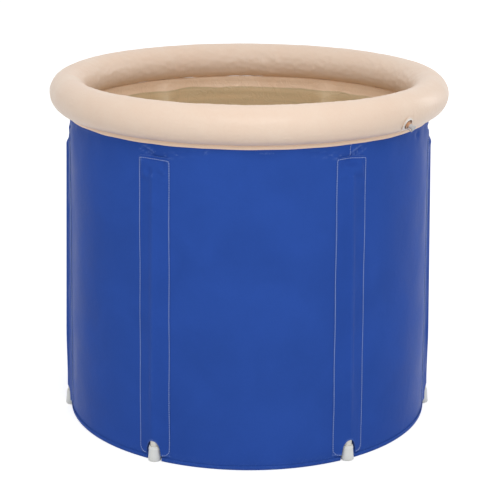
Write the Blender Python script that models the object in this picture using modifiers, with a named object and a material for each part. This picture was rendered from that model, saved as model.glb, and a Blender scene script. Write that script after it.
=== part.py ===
"""Folding soak tub: a round pool of laminated sheet, held up by six poles in sewn pockets, with an inflated rim.

Metres, +Z up. The origin is the middle of the base, on the floor. The front faces -Y, and angles are counted from
the front, in degrees, positive towards +X.
"""

import math

import bmesh
import bpy
from mathutils import Matrix, Vector

# Gaps that are left between pieces that touch, and between pieces that slide or turn.
seat_gap = 0.0003
running_gap = 0.0005
weld_distance = 0.000001
overrun = 0.004

# The wall. Its radii are the outer skin's, halfway between two poles. The rim lies a little inside the base's round.
base_radius = 0.350
rim_inset = 0.0100
wall_height = 0.5919
skin_thickness = 0.0010
insulation_thickness = 0.0050
liner_thickness = 0.0008

# How far a pole holds the wall in from its round: at the floor, at the pole's top and under the ring's skirt.
# The fold reaches this angle to each side of the pole.
base_draw = 0.0140
pole_top_draw = 0.0180
rim_draw = 0.0010
fold_angle = 5

# The floor.
base_sheet_thickness = 0.0010
base_lip_height = 0.0065
floor_pad_thickness = 0.0050
floor_liner_thickness = 0.0008

# The inflated ring and the band that welds it to the wall.
ring_tube_radius = 0.0343
ring_overhang = 0.0014
ring_film = 0.0006
skirt_height = 0.0076
skirt_thickness = 0.0008

# The poles, their top plugs and their foot caps.
pole_radius = 0.0080
pole_wall = 0.0015
plug_head_height = 0.0040
plug_stem_height = 0.0120
plug_crown = 0.0015
plug_crown_shoulder = 0.0005
foot_wall = 0.0017
foot_flare = 0.0020
foot_floor = 0.0040
foot_height = 0.0280
foot_edge = 0.0010

# The pockets.
pocket_thickness = 0.0010
seam_allowance = 0.0015
pocket_ease = 0.0008
pocket_drop = 0.0360
pocket_closing = 0.0260
pocket_hem_height = 0.0120
arch_side_clearance = 0.0030
arch_top_clearance = 0.0120

# The air valve, on the ring's lower outer side.
valve_angle = 46.3
valve_tilt = -25
valve_cup_radius = 0.0100
valve_cup_wall = 0.0008
valve_cup_depth = 0.0100
valve_rim_rise = 0.0020
valve_flange_width = 0.0035
valve_flange_thickness = 0.0012
stem_radius = 0.0040
stem_wall = 0.0013
stem_reach = 0.0126
stem_collar_width = 0.0020
stem_collar_thickness = 0.0012
stem_lip = 0.0012
stem_tail = 0.0025
strap_reach = 0.0019
strap_thickness = 0.0010
strap_half_width = 0.0015
strap_fold_gap = 0.0010
strap_step = 0.0001
stopper_head_width = 0.0012
stopper_head_height = 0.0026
stopper_crown_inset = 0.0013
stopper_crown_drop = 0.0001
stopper_edge_drop = 0.0008
stopper_plug_depth = 0.0023
stopper_plug_play = 0.0004
stopper_plug_taper = 0.0004
flap_lap = 0.0007
flap_thickness = 0.0006

# The drain, low in the wall at the back.
drain_angle = 180
drain_clearance = 0.0185
drain_bore = 0.0100
drain_barrel_wall = 0.0025
drain_flange_width = 0.0065
drain_flange_thickness = 0.0025
drain_gasket_thickness = 0.0018
drain_spout_wall = 0.0035
drain_spout_length = 0.0114
drain_nut_wall = 0.0040
drain_nut_thickness = 0.0050
drain_nut_standoff = 0.0018
drain_barrel_end = 0.0020
cap_wall = 0.0035
cap_top = 0.0020
cap_seal_thickness = 0.0015
cap_skirt_clearance = 0.0014
cap_edge = 0.0010
stopper_flange_width = 0.0025
stopper_flange_thickness = 0.0030
stopper_shank_length = 0.0084
stopper_taper = 0.0006
stopper_neck_radius = 0.0030
stopper_neck_length = 0.0033
stopper_knob_lap = 0.0030
stopper_knob_length = 0.0040

# Where the poles stand, on whole steps of the fold's angle. The rear pair repeats the front pair, and the side
# pair stands a little forward.
poles = {
    "front_left": -30,
    "front_right": 30,
    "side_left": -85,
    "side_right": 85,
    "rear_left": -150,
    "rear_right": 150,
}

# How finely round forms are divided. Each fold in the wall is two steps wide.
wall_steps = round(360 / fold_angle)
tube_steps = 16
pole_steps = 16
fitting_steps = 20
pocket_columns = 12

# Sizes that follow from the ones above.
rim_radius = base_radius - rim_inset
ring_centre_radius = rim_radius + ring_overhang
ring_centre_height = wall_height + seat_gap + ring_tube_radius
insulation_inset = skin_thickness + seat_gap
liner_inset = insulation_inset + insulation_thickness + seat_gap
wall_thickness = liner_inset + liner_thickness
skirt_low = wall_height - skirt_height
pocket_top = wall_height - pocket_drop
pole_top_height = pocket_top - pocket_closing
foot_top_radius = pole_radius + seat_gap + foot_wall
foot_base_radius = foot_top_radius + foot_flare
pole_length = pole_top_height - foot_floor - plug_head_height - 2 * seat_gap
fold_half_width = base_radius * math.radians(fold_angle)
wall_slope = math.atan2(rim_inset, wall_height)
stem_bore = stem_radius - stem_wall
stem_collar_radius = stem_radius + stem_collar_width
strap_offset = stem_collar_radius + strap_reach
stopper_head_radius = stem_radius + stopper_head_width
stopper_crown_radius = stopper_head_radius - stopper_crown_inset
flap_radius = stem_bore + flap_lap
drain_barrel_radius = drain_bore + drain_barrel_wall
drain_spout_radius = drain_bore + drain_spout_wall
drain_flange_radius = drain_spout_radius + drain_flange_width
drain_nut_half_width = drain_barrel_radius + drain_nut_wall
stopper_knob_radius = stopper_neck_radius + stopper_knob_lap

# Colours of the pieces, with roughness.
finishes = {
    "blue_sheet": ((0.030, 0.085, 0.380), 0.45),
    "blue_pocket": ((0.028, 0.080, 0.350), 0.45),
    "foam": ((0.75, 0.76, 0.78), 0.90),
    "liner_film": ((0.76, 0.53, 0.39), 0.40),
    "peach_film": ((0.86, 0.66, 0.52), 0.35),
    "pole_plastic": ((0.72, 0.68, 0.56), 0.45),
    "white_plastic": ((0.70, 0.71, 0.67), 0.40),
    "clear_vinyl": ((0.70, 0.72, 0.74), 0.20),
    "black_rubber": ((0.03, 0.03, 0.03), 0.70),
}


def clear_scene():
    for obj in list(bpy.data.objects):
        bpy.data.objects.remove(obj, do_unlink=True)


def new_collection(name):
    collection = bpy.data.collections.new(name)
    bpy.context.scene.collection.children.link(collection)
    return collection


def new_material(name):
    colour, roughness = finishes[name]
    material = bpy.data.materials.get(name) or bpy.data.materials.new(name)
    material.use_nodes = True
    shader = material.node_tree.nodes["Principled BSDF"]
    shader.inputs["Base Color"].default_value = (*colour, 1)
    shader.inputs["Roughness"].default_value = roughness
    shader.inputs["Metallic"].default_value = 0
    return material


clear_scene()
tub = new_collection("Soak_Tub")
cutters = new_collection("Cutters")


def add_piece(name, mesh, finish, parent=None, matrix=None):
    """Puts a mesh in the tub as one named piece."""
    if not mesh.materials:
        mesh.materials.append(new_material(finish))
    mesh.shade_smooth()
    mesh.set_sharp_from_angle(angle=math.radians(40))
    obj = bpy.data.objects.new(name, mesh)
    tub.objects.link(obj)
    obj.parent = parent
    obj.matrix_local = matrix or Matrix()
    return obj


def add_cutter(name, mesh, parent=None, matrix=None):
    """Puts a mesh among the shapes that only cut or extend other pieces."""
    obj = bpy.data.objects.new(name, mesh)
    cutters.objects.link(obj)
    obj.parent = parent
    obj.matrix_local = matrix or Matrix()
    obj.hide_render = True
    obj.display_type = "WIRE"
    return obj


def add_seat(name, matrix):
    """An empty that carries a group of pieces."""
    seat = bpy.data.objects.new(name, None)
    tub.objects.link(seat)
    seat.matrix_world = matrix
    return seat


def join_with(obj, other, operation):
    modifier = obj.modifiers.new(operation.title(), "BOOLEAN")
    modifier.operation = operation
    modifier.object = other


def evaluated_mesh(obj):
    """The mesh that an object's modifiers make. The object itself is removed."""
    graph = bpy.context.evaluated_depsgraph_get()
    mesh = bpy.data.meshes.new_from_object(obj.evaluated_get(graph), depsgraph=graph)
    mesh.name = obj.name
    bpy.data.objects.remove(obj, do_unlink=True)
    return mesh


def turned_mesh(name, outline, steps, closed=False):
    """Turns an outline of (radius, height) round Z. It runs down the outer side, and closed outlines have a bore."""
    mesh = bpy.data.meshes.new(name)
    edges = [(i, i + 1) for i in range(len(outline) - 1)]
    if closed:
        edges.append((len(outline) - 1, 0))
    mesh.from_pydata([(radius, 0, height) for radius, height in outline], edges, [])
    obj = bpy.data.objects.new(name, mesh)
    cutters.objects.link(obj)
    turn = obj.modifiers.new("Turn", "SCREW")
    turn.steps = steps
    turn.render_steps = steps
    turn.use_merge_vertices = True
    turn.merge_threshold = weld_distance
    return evaluated_mesh(obj)


def cylinder_mesh(name, radius, low, high, segments):
    shape = bmesh.new()
    bmesh.ops.create_cone(
        shape, cap_ends=True, segments=segments, radius1=radius, radius2=radius, depth=high - low
    )
    bmesh.ops.translate(shape, verts=shape.verts, vec=(0, 0, (high + low) / 2))
    mesh = bpy.data.meshes.new(name)
    shape.to_mesh(mesh)
    shape.free()
    return mesh


def block_mesh(name, low, high):
    shape = bmesh.new()
    bmesh.ops.create_cube(shape, size=1)
    low, high = Vector(low), Vector(high)
    for vertex in shape.verts:
        vertex.co = (low + high) / 2 + vertex.co * (high - low)
    mesh = bpy.data.meshes.new(name)
    shape.to_mesh(mesh)
    shape.free()
    return mesh


def direction(angle):
    """The level direction at an angle from the front."""
    return Vector((math.sin(math.radians(angle)), -math.cos(math.radians(angle)), 0))


def frame_at(point, outward, along):
    """A frame whose Z points outward, and whose X runs along the surface."""
    across = outward.cross(along)
    frame = Matrix((along, across, outward)).transposed().to_4x4()
    frame.translation = point
    return frame


def wall_radius(height):
    """The outer skin's radius halfway between two poles."""
    return base_radius + (rim_radius - base_radius) * height / wall_height


def draw_in(angle, height):
    """How far the nearest pole holds the wall in from its round, in a straight-sided fold."""
    away = min(abs((angle - station + 180) % 360 - 180) for station in poles.values())
    if height < pole_top_height:
        depth = base_draw + (pole_top_draw - base_draw) * height / pole_top_height
    else:
        rise = min((height - pole_top_height) / (skirt_low - pole_top_height), 1)
        depth = pole_top_draw + (rim_draw - pole_top_draw) * rise
    return depth * max(1 - away / fold_angle, 0)


def held_in(vertex):
    """How far the nearest pole will hold a point of a turned mesh in."""
    angle = math.degrees(math.atan2(vertex.co.x, -vertex.co.y))
    return draw_in(angle, vertex.co.z)


def split_alike(shape):
    """Splits each upright four-sided face from its more held-in lower corner, so that warped layers still nest."""
    for face in list(shape.faces):
        corners = sorted(face.verts, key=lambda vertex: vertex.co.z)
        if len(corners) != 4 or corners[3].co.z - corners[0].co.z < weld_distance:
            continue
        start = max(corners[:2], key=held_in)
        loop = list(face.verts)
        bmesh.utils.face_split(face, start, loop[loop.index(start) - 2])


def drawn_in(mesh):
    """Moves a turned mesh's points inwards as the poles hold the wall."""
    shape = bmesh.new()
    shape.from_mesh(mesh)
    split_alike(shape)
    for vertex in shape.verts:
        radius = math.hypot(vertex.co.x, vertex.co.y)
        if radius > weld_distance:
            share = 1 - held_in(vertex) / radius
            vertex.co.x *= share
            vertex.co.y *= share
    shape.to_mesh(mesh)
    shape.free()
    return mesh


def wall_band(name, inset, thickness, low, high):
    """A band of the wall between two heights, this far in from the outer skin's face."""
    bends = [height for height in (skirt_low, pocket_top, pole_top_height) if low < height < high]
    heights = [high, *bends, low]
    outside = [(wall_radius(height) - inset, height) for height in heights]
    inside = [(radius - thickness, height) for radius, height in reversed(outside)]
    return drawn_in(turned_mesh(name, outside + inside, wall_steps, closed=True))


def floor_disc(name, inset, low, high):
    """A round sheet on the floor, whose edge is this far in from the outer skin's face."""
    radius = wall_radius(low) - inset
    outline = [(0, high), (radius, high), (radius, low), (0, low)]
    return drawn_in(turned_mesh(name, outline, wall_steps))


def make_wall():
    low = base_sheet_thickness + seat_gap
    floor_liner_top = low + floor_pad_thickness + seat_gap + floor_liner_thickness
    skin = wall_band("outer_skin", 0, skin_thickness, low, wall_height)
    foam = wall_band("insulation", insulation_inset, insulation_thickness, low, wall_height)
    liner = wall_band("inner_liner", liner_inset, liner_thickness, floor_liner_top + seat_gap, wall_height)
    return [
        add_piece("outer_skin", skin, "blue_sheet"),
        add_piece("insulation", foam, "foam"),
        add_piece("inner_liner", liner, "liner_film"),
    ]


def make_floor():
    """The base sheet turns up round the skin's foot as a lip. The pad and its liner lie inside the foam wall."""
    inner = wall_radius(base_lip_height) + seat_gap
    outer = inner + base_sheet_thickness
    lip_top = base_sheet_thickness + base_lip_height
    foot_rise = wall_radius(0) - wall_radius(base_lip_height)
    outline = [
        (0, base_sheet_thickness),
        (inner + foot_rise, base_sheet_thickness),
        (inner + foot_rise, lip_top),
        (outer + foot_rise, lip_top),
        (outer + foot_rise, 0),
        (0, 0),
    ]
    add_piece("base_sheet", drawn_in(turned_mesh("base_sheet", outline, wall_steps)), "blue_sheet")
    low = base_sheet_thickness + seat_gap
    pad = floor_disc("floor_pad", liner_inset, low, low + floor_pad_thickness)
    add_piece("floor_pad", pad, "foam")
    low = low + floor_pad_thickness + seat_gap
    liner = floor_disc("floor_liner", liner_inset, low, low + floor_liner_thickness)
    add_piece("floor_liner", liner, "liner_film")


def torus_mesh(name, tube_radius):
    bpy.ops.mesh.primitive_torus_add(
        location=(0, 0, 0),
        major_segments=wall_steps,
        minor_segments=tube_steps,
        major_radius=ring_centre_radius,
        minor_radius=tube_radius,
    )
    obj = bpy.context.object
    mesh = obj.data
    mesh.name = name
    bpy.data.objects.remove(obj, do_unlink=True)
    return mesh


def make_ring(valve):
    """The ring is a hollow tube of film, open only where the valve's cup goes in."""
    lift = Matrix.Translation((0, 0, ring_centre_height))
    ring = add_piece("ring_tube", torus_mesh("ring_tube", ring_tube_radius), "peach_film", matrix=lift)
    film = ring.modifiers.new("Film", "SOLIDIFY")
    film.thickness = ring_film
    film.offset = -1
    hole = cylinder_mesh(
        "valve_hole", valve_cup_radius + seat_gap, -valve_cup_depth - overrun, overrun, fitting_steps
    )
    join_with(ring, add_cutter("valve_hole", hole, valve), "DIFFERENCE")
    skirt = wall_band("ring_skirt", -seat_gap - skirt_thickness, skirt_thickness, skirt_low, wall_height)
    add_piece("ring_skirt", skirt, "peach_film")


def rest_in_fold(angle, height, clearance):
    """The radius at which a round piece's axis keeps this far from both sides of a pole's fold."""
    bottom = wall_radius(height) - draw_in(angle, height)
    edge = wall_radius(height)
    spread = math.radians(fold_angle)
    side_slope = math.atan2(edge * math.cos(spread) - bottom, edge * math.sin(spread))
    return bottom + clearance / math.cos(side_slope)


def pole_axis(angle):
    """The ends of a pole's axis: on the floor, where the foot cap clears the lip, and at the pole's top."""
    low = rest_in_fold(angle, 0, 2 * seat_gap + base_sheet_thickness + foot_base_radius)
    high = rest_in_fold(angle, pole_top_height, seat_gap + pole_radius)
    lean = math.atan2(low - high, pole_top_height)
    foot = direction(angle) * low + Vector((0, 0, foot_base_radius * math.sin(lean)))
    top = direction(angle) * high + Vector((0, 0, pole_top_height))
    return foot, top


def pole_axis_radius(angle, height):
    foot, top = pole_axis(angle)
    low, high = math.hypot(foot.x, foot.y), math.hypot(top.x, top.y)
    return low + (high - low) * height / pole_top_height


def foot_cap_mesh():
    bore = pole_radius + seat_gap
    outline = [
        (foot_top_radius, foot_height),
        (foot_base_radius, foot_edge),
        (foot_base_radius - foot_edge, 0),
        (0, 0),
    ]
    outline = [(0, foot_floor), (bore, foot_floor), (bore, foot_height)] + outline
    return turned_mesh("foot_cap", outline, pole_steps)


def pole_mesh():
    low = foot_floor + seat_gap
    high = low + pole_length
    bore = pole_radius - pole_wall
    outline = [(pole_radius, high), (pole_radius, low), (bore, low), (bore, high)]
    return turned_mesh("pole", outline, pole_steps, closed=True)


def pole_plug_mesh():
    low = foot_floor + 2 * seat_gap + pole_length
    high = low + plug_head_height
    stem = pole_radius - pole_wall - seat_gap
    outline = [
        (0, high),
        (pole_radius - plug_crown, high - plug_crown_shoulder),
        (pole_radius, high - plug_crown),
        (pole_radius, low),
        (stem, low),
        (stem, low - plug_stem_height),
        (0, low - plug_stem_height),
    ]
    return turned_mesh("pole_plug", outline, pole_steps)


def make_poles():
    """Each pole stands in a foot cap, with a plug in its top, and leans in as the wall does."""
    shapes = {
        "foot_cap": (foot_cap_mesh(), "white_plastic"),
        "pole": (pole_mesh(), "pole_plastic"),
        "pole_plug": (pole_plug_mesh(), "white_plastic"),
    }
    for place, angle in poles.items():
        foot, top = pole_axis(angle)
        along = direction(angle + 90)
        seat = add_seat("pole_seat_" + place, frame_at(foot, (top - foot).normalized(), along))
        for shape, (mesh, finish) in shapes.items():
            add_piece(shape + "_" + place, mesh, finish, seat)


def pocket_lift(angle, offset, height):
    """How far the pocket stands off the folded wall. It runs straight from each seam up to a ridge over the pole."""
    ridge = pole_axis_radius(angle, height) + pole_radius + pocket_ease - wall_radius(height) - seat_gap
    turn = angle + math.degrees(offset / base_radius)
    lift = ridge * max(1 - abs(offset) / fold_half_width, 0) + draw_in(turn, height)
    if height <= pole_top_height:
        return lift
    closing = (height - pole_top_height) / (pocket_top - pole_top_height)
    return lift * math.cos(math.pi / 2 * closing) ** 2


def pocket_hem(offset):
    """The height of the pocket's lower edge, which arches over the foot cap."""
    half_width = foot_base_radius + arch_side_clearance
    share = min(abs(offset) / half_width, 1)
    rise = foot_height + arch_top_clearance - pocket_hem_height
    return pocket_hem_height + rise * math.sqrt(1 - share**2)


def pocket_mesh(name, angle):
    """A strip that is sewn to the wall along both edges of a fold and at its top, and spans the pole between."""
    columns = pocket_columns + 2
    side = fold_half_width + seam_allowance
    inner = [fold_half_width * (2 * step / pocket_columns - 1) for step in range(pocket_columns + 1)]
    offsets = [-side, *inner, side]
    straight_top = pole_top_height + seat_gap
    arch_top = foot_height + 2 * arch_top_clearance
    rises = [0, arch_top, straight_top, (straight_top + pocket_top) / 2, pocket_top]
    shape = bmesh.new()
    rows = len(rises) - 1
    bmesh.ops.create_grid(shape, x_segments=columns, y_segments=rows, size=0.5)
    for vertex in shape.verts:
        offset = offsets[round((vertex.co.x + 0.5) * columns)]
        row = round((vertex.co.y + 0.5) * rows)
        height = rises[row] if row else pocket_hem(offset)
        turn = angle + math.degrees(offset / base_radius)
        wall = wall_radius(height) - draw_in(turn, height) + seat_gap
        radius = wall + pocket_lift(angle, offset, height)
        vertex.co = direction(turn) * radius + Vector((0, 0, height))
    mesh = bpy.data.meshes.new(name)
    shape.to_mesh(mesh)
    shape.free()
    return mesh


def make_pockets():
    for place, angle in poles.items():
        name = "pocket_" + place
        pocket = add_piece(name, pocket_mesh(name, angle), "blue_pocket")
        sheet = pocket.modifiers.new("Sheet", "SOLIDIFY")
        sheet.thickness = pocket_thickness
        sheet.offset = 1
        sheet.use_even_offset = True


def valve_seat():
    """The valve's frame: on the ring's tube, Z out of it, X along the ring."""
    out = direction(valve_angle) * math.cos(math.radians(valve_tilt))
    out.z = math.sin(math.radians(valve_tilt))
    centre = direction(valve_angle) * ring_centre_radius + Vector((0, 0, ring_centre_height))
    point = centre + out * ring_tube_radius
    return add_seat("valve_seat", frame_at(point, out, direction(valve_angle + 90)))


def valve_shell(name, low, high):
    """A skin over the ring's tube, from one height to another above its film."""
    mesh = torus_mesh(name, ring_tube_radius + high)
    lift = Matrix.Translation((0, 0, ring_centre_height))
    shell = add_cutter(name, mesh, matrix=lift)
    core = add_cutter(name + "_core", torus_mesh(name + "_core", ring_tube_radius + low), matrix=lift)
    return shell, core


def make_valve_base(seat):
    """A flange that follows the film round a cup, whose floor guides the stem."""
    reach = valve_cup_radius + valve_flange_width
    disc = cylinder_mesh("valve_base", reach, -overrun * 2, overrun * 2, fitting_steps)
    base = add_piece("valve_base", disc, "clear_vinyl", seat)
    shell, core = valve_shell("valve_film", seat_gap, seat_gap + valve_flange_thickness)
    join_with(base, shell, "INTERSECT")
    join_with(base, core, "DIFFERENCE")
    inner = valve_cup_radius - valve_cup_wall
    opening = cylinder_mesh(
        "valve_opening", valve_cup_radius - valve_cup_wall / 2, -overrun * 3, overrun * 3, fitting_steps
    )
    join_with(base, add_cutter("valve_opening", opening, seat), "DIFFERENCE")
    guide = stem_radius + running_gap
    floor_top = valve_cup_wall - valve_cup_depth
    outline = [
        (valve_cup_radius, valve_rim_rise),
        (valve_cup_radius, -valve_cup_depth),
        (guide, -valve_cup_depth),
        (guide, floor_top),
        (inner, floor_top),
        (inner, valve_rim_rise),
    ]
    cup = turned_mesh("valve_cup", outline, fitting_steps, closed=True)
    join_with(base, add_cutter("valve_cup", cup, seat), "UNION")


def stem_tail_end():
    return -valve_cup_depth - seat_gap - stem_lip - stem_tail


def make_valve_stem(seat):
    """The tube that air goes in by, with its collar, the lip that keeps it in the cup, and the stopper's strap."""
    lip_top = -valve_cup_depth - seat_gap
    lip_radius = stem_radius + running_gap + stem_lip
    outline = [
        (stem_radius, stem_reach),
        (stem_radius, stem_collar_thickness),
        (stem_collar_radius, stem_collar_thickness),
        (stem_collar_radius, 0),
        (stem_radius, 0),
        (stem_radius, lip_top),
        (lip_radius, lip_top),
        (lip_radius, lip_top - stem_lip),
        (stem_radius, lip_top - stem_lip),
        (stem_radius, stem_tail_end()),
        (stem_bore, stem_tail_end()),
        (stem_bore, stem_reach),
    ]
    mesh = turned_mesh("valve_stem", outline, pole_steps, closed=True)
    stem = add_piece("valve_stem", mesh, "clear_vinyl", seat)
    half = strap_thickness / 2
    tongue = block_mesh(
        "strap_root",
        (-strap_half_width, -strap_offset - half, strap_step),
        (strap_half_width, strap_thickness - stem_collar_radius, stem_collar_thickness - strap_step),
    )
    post = block_mesh(
        "strap_post",
        (strap_step - strap_half_width, strap_step - strap_offset - half, 2 * strap_step),
        (strap_half_width - strap_step, half - strap_offset, strap_fold_height() - strap_fold_gap),
    )
    join_with(stem, add_cutter("strap_root", tongue, seat), "UNION")
    join_with(stem, add_cutter("strap_post", post, seat), "UNION")


def strap_fold_height():
    """The height of the fold that the stopper swings on."""
    return stem_reach + seat_gap + strap_thickness / 2


def make_valve_stopper(seat):
    """A plug with a head, on the free half of the strap. Its origin is on the fold."""
    plug_radius = stem_bore - stopper_plug_play
    low = stem_reach + seat_gap - strap_fold_height()
    outline = [
        (0, low + stopper_head_height),
        (stopper_crown_radius, low + stopper_head_height - stopper_crown_drop),
        (stopper_head_radius, low + stopper_head_height - stopper_edge_drop),
        (stopper_head_radius, low),
        (plug_radius, low),
        (plug_radius - stopper_plug_taper, low - stopper_plug_depth - seat_gap),
        (0, low - stopper_plug_depth - seat_gap),
    ]
    mesh = turned_mesh("valve_stopper", outline, pole_steps)
    mesh.transform(Matrix.Translation((0, strap_offset, 0)))
    half = strap_thickness / 2
    arm = block_mesh(
        "stopper_arm",
        (-strap_half_width, -half, -half + strap_step),
        (strap_half_width, strap_offset - stopper_head_radius / 2, half),
    )
    place = Matrix.Translation((0, -strap_offset, strap_fold_height()))
    stopper = add_piece("valve_stopper", mesh, "clear_vinyl", seat, place)
    join_with(stopper, add_cutter("stopper_arm", arm, seat, place), "UNION")


def make_valve_flap(seat):
    """The one-way flap under the stem's inner end. Its origin is on the edge that it folds at."""
    fold = flap_radius - flap_thickness / 2
    half = flap_thickness / 2
    outline = [(0, half), (flap_radius, half), (flap_radius, -half), (0, -half)]
    mesh = turned_mesh("valve_flap", outline, pole_steps)
    mesh.transform(Matrix.Translation((0, -fold, 0)))
    place = Matrix.Translation((0, fold, stem_tail_end() - seat_gap - half))
    add_piece("valve_flap", mesh, "black_rubber", seat, place)


def drain_height():
    return base_sheet_thickness + base_lip_height + drain_flange_radius + drain_clearance


def drain_seat():
    """The drain's frame: on the outer skin, Z out of the wall, X along it."""
    out = direction(drain_angle) * math.cos(wall_slope)
    out.z = math.sin(wall_slope)
    height = drain_height()
    radius = wall_radius(height) - draw_in(drain_angle, height)
    point = direction(drain_angle) * radius + Vector((0, 0, height))
    return add_seat("drain_seat", frame_at(point, out, direction(drain_angle + 90)))


def flange_low():
    return drain_gasket_thickness + seat_gap


def spout_end():
    return flange_low() + drain_flange_thickness + drain_spout_length


def barrel_end():
    return -wall_thickness - drain_nut_standoff - drain_nut_thickness - drain_barrel_end


def make_drain_body(seat):
    """A flange outside the wall, with a spout on it and a barrel through the wall."""
    low = flange_low()
    high = low + drain_flange_thickness
    outline = [
        (drain_spout_radius, spout_end()),
        (drain_spout_radius, high),
        (drain_flange_radius, high),
        (drain_flange_radius, low),
        (drain_barrel_radius, low),
        (drain_barrel_radius, barrel_end()),
        (drain_bore, barrel_end()),
        (drain_bore, spout_end()),
    ]
    mesh = turned_mesh("drain_body", outline, fitting_steps, closed=True)
    add_piece("drain_body", mesh, "white_plastic", seat)


def make_drain_gasket(seat):
    """A soft ring under the flange, shaped by the wall behind it."""
    hole = drain_barrel_radius + seat_gap
    low = -overrun
    outline = [
        (drain_flange_radius - seat_gap, drain_gasket_thickness),
        (drain_flange_radius - seat_gap, low),
        (hole, low),
        (hole, drain_gasket_thickness),
    ]
    mesh = turned_mesh("drain_gasket", outline, fitting_steps, closed=True)
    gasket = add_piece("drain_gasket", mesh, "black_rubber", seat)
    high = wall_height
    outline = [
        (0, high),
        (wall_radius(high) + seat_gap, high),
        (wall_radius(pole_top_height) + seat_gap, pole_top_height),
        (wall_radius(0) + seat_gap, 0),
        (0, 0),
    ]
    form = drawn_in(turned_mesh("wall_form", outline, wall_steps))
    join_with(gasket, add_cutter("wall_form", form), "DIFFERENCE")


def make_drain_nut(seat):
    """The hexagonal nut that clamps the wall from inside."""
    high = -wall_thickness - drain_nut_standoff
    low = high - drain_nut_thickness
    corner = drain_nut_half_width / math.cos(math.pi / 6)
    nut = add_piece("drain_nut", cylinder_mesh("drain_nut", corner, low, high, 6), "white_plastic", seat)
    hole = cylinder_mesh(
        "nut_hole", drain_barrel_radius + seat_gap, low - overrun, high + overrun, fitting_steps
    )
    join_with(nut, add_cutter("nut_hole", hole, seat), "DIFFERENCE")


def make_drain_cap(seat):
    """The screw cap over the spout, and the seal that it presses on the spout's end."""
    seal_low = spout_end() + seat_gap
    seal_high = seal_low + cap_seal_thickness
    bore = drain_spout_radius + running_gap
    seal_radius = drain_spout_radius - seat_gap
    outline = [(0, seal_high), (seal_radius, seal_high), (seal_radius, seal_low), (0, seal_low)]
    add_piece("drain_cap_seal", turned_mesh("drain_cap_seal", outline, fitting_steps), "black_rubber", seat)
    skirt_low = flange_low() + drain_flange_thickness + cap_skirt_clearance
    inside = seal_high + seat_gap
    outside = inside + cap_top
    outer = bore + cap_wall
    outline = [
        (0, outside),
        (outer - cap_edge, outside),
        (outer, outside - cap_edge),
        (outer, skirt_low),
        (bore, skirt_low),
        (bore, inside),
        (0, inside),
    ]
    add_piece("drain_cap", turned_mesh("drain_cap", outline, fitting_steps), "white_plastic", seat)


def make_drain_stopper(seat):
    """The rubber stopper that is pushed into the barrel from inside the tub."""
    face = barrel_end() - seat_gap
    shank = drain_bore - seat_gap
    flange = drain_bore + stopper_flange_width
    flange_face = face - stopper_flange_thickness
    knob_top = flange_face - stopper_neck_length
    knob_low = knob_top - stopper_knob_length
    outline = [
        (0, face + stopper_shank_length),
        (shank - stopper_taper, face + stopper_shank_length),
        (shank, face),
        (flange, face),
        (flange, flange_face),
        (stopper_neck_radius, flange_face),
        (stopper_neck_radius, knob_top),
        (stopper_knob_radius, knob_top),
        (stopper_knob_radius, knob_low),
        (0, knob_low),
    ]
    add_piece("drain_stopper", turned_mesh("drain_stopper", outline, fitting_steps), "black_rubber", seat)


def make_drain(wall):
    seat = drain_seat()
    hole = cylinder_mesh(
        "drain_hole",
        drain_barrel_radius + seat_gap,
        -wall_thickness - overrun,
        overrun,
        fitting_steps,
    )
    hole = add_cutter("drain_hole", hole, seat)
    for layer in wall:
        join_with(layer, hole, "DIFFERENCE")
    make_drain_body(seat)
    make_drain_gasket(seat)
    make_drain_nut(seat)
    make_drain_cap(seat)
    make_drain_stopper(seat)


def make_valve(seat):
    make_valve_base(seat)
    make_valve_stem(seat)
    make_valve_stopper(seat)
    make_valve_flap(seat)


def make_tub():
    make_drain(make_wall())
    make_floor()
    seat = valve_seat()
    make_ring(seat)
    make_valve(seat)
    make_poles()
    make_pockets()


make_tub()
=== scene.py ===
"""Folding soak tub: a round wall of coated sheet and foam, held up by six poles, with an inflated rim."""

import math

import bmesh
import bpy
import numpy as np
from mathutils import Matrix, Vector


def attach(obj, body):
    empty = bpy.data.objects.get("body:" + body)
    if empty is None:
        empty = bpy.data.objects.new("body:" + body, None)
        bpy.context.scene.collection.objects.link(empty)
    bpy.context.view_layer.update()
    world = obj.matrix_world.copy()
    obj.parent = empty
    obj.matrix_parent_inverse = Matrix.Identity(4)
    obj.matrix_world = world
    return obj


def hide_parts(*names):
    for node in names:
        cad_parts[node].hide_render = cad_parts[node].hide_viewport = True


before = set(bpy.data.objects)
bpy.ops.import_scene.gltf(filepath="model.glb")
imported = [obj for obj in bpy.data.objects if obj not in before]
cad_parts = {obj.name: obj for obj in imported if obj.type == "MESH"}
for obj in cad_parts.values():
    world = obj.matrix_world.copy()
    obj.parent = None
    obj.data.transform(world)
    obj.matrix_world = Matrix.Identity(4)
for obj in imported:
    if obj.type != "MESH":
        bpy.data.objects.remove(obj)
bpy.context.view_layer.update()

# The outer skin is one blue sheet of coated polyester, welded into a round, with each of the six poles
# half sunk in a narrow fold of it. The sheet's foot is welded into the base sheet's lip, and its top
# into the ring's skirt.
pole_angles = {
    "front_left": -30,
    "front_right": 30,
    "side_left": -85,
    "side_right": 85,
    "rear_left": -150,
    "rear_right": 150,
}
seat_gap = 0.0003
base_radius = 0.350
rim_radius = 0.340
wall_height = 0.5919
skin_low = 0.0013
skin_thickness = 0.0010
pole_top_height = 0.5299
skirt_low = 0.5843
fold_angle = 5
foot_nest = 0.0138
base_draw = 0.0140
pole_top_draw = 0.0180
rim_draw = 0.0010
crease_width = 0.0034
crease_depth = 0.0040
crease_lines = (
    (1.0, (-0.004, 0.562), (-0.046, 0.588)),
    (0.7, (0.010, 0.563), (0.095, 0.578)),
    (-0.6, (0.002, 0.567), (-0.032, 0.591)),
)
dimple_angle = 62
dimple_height = 0.572
dimple_depth = 0.0032
column_step = 0.9
fine_reach = 8
fine_columns = 41
blue_colour = (0.028, 0.084, 0.382, 1)
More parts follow.
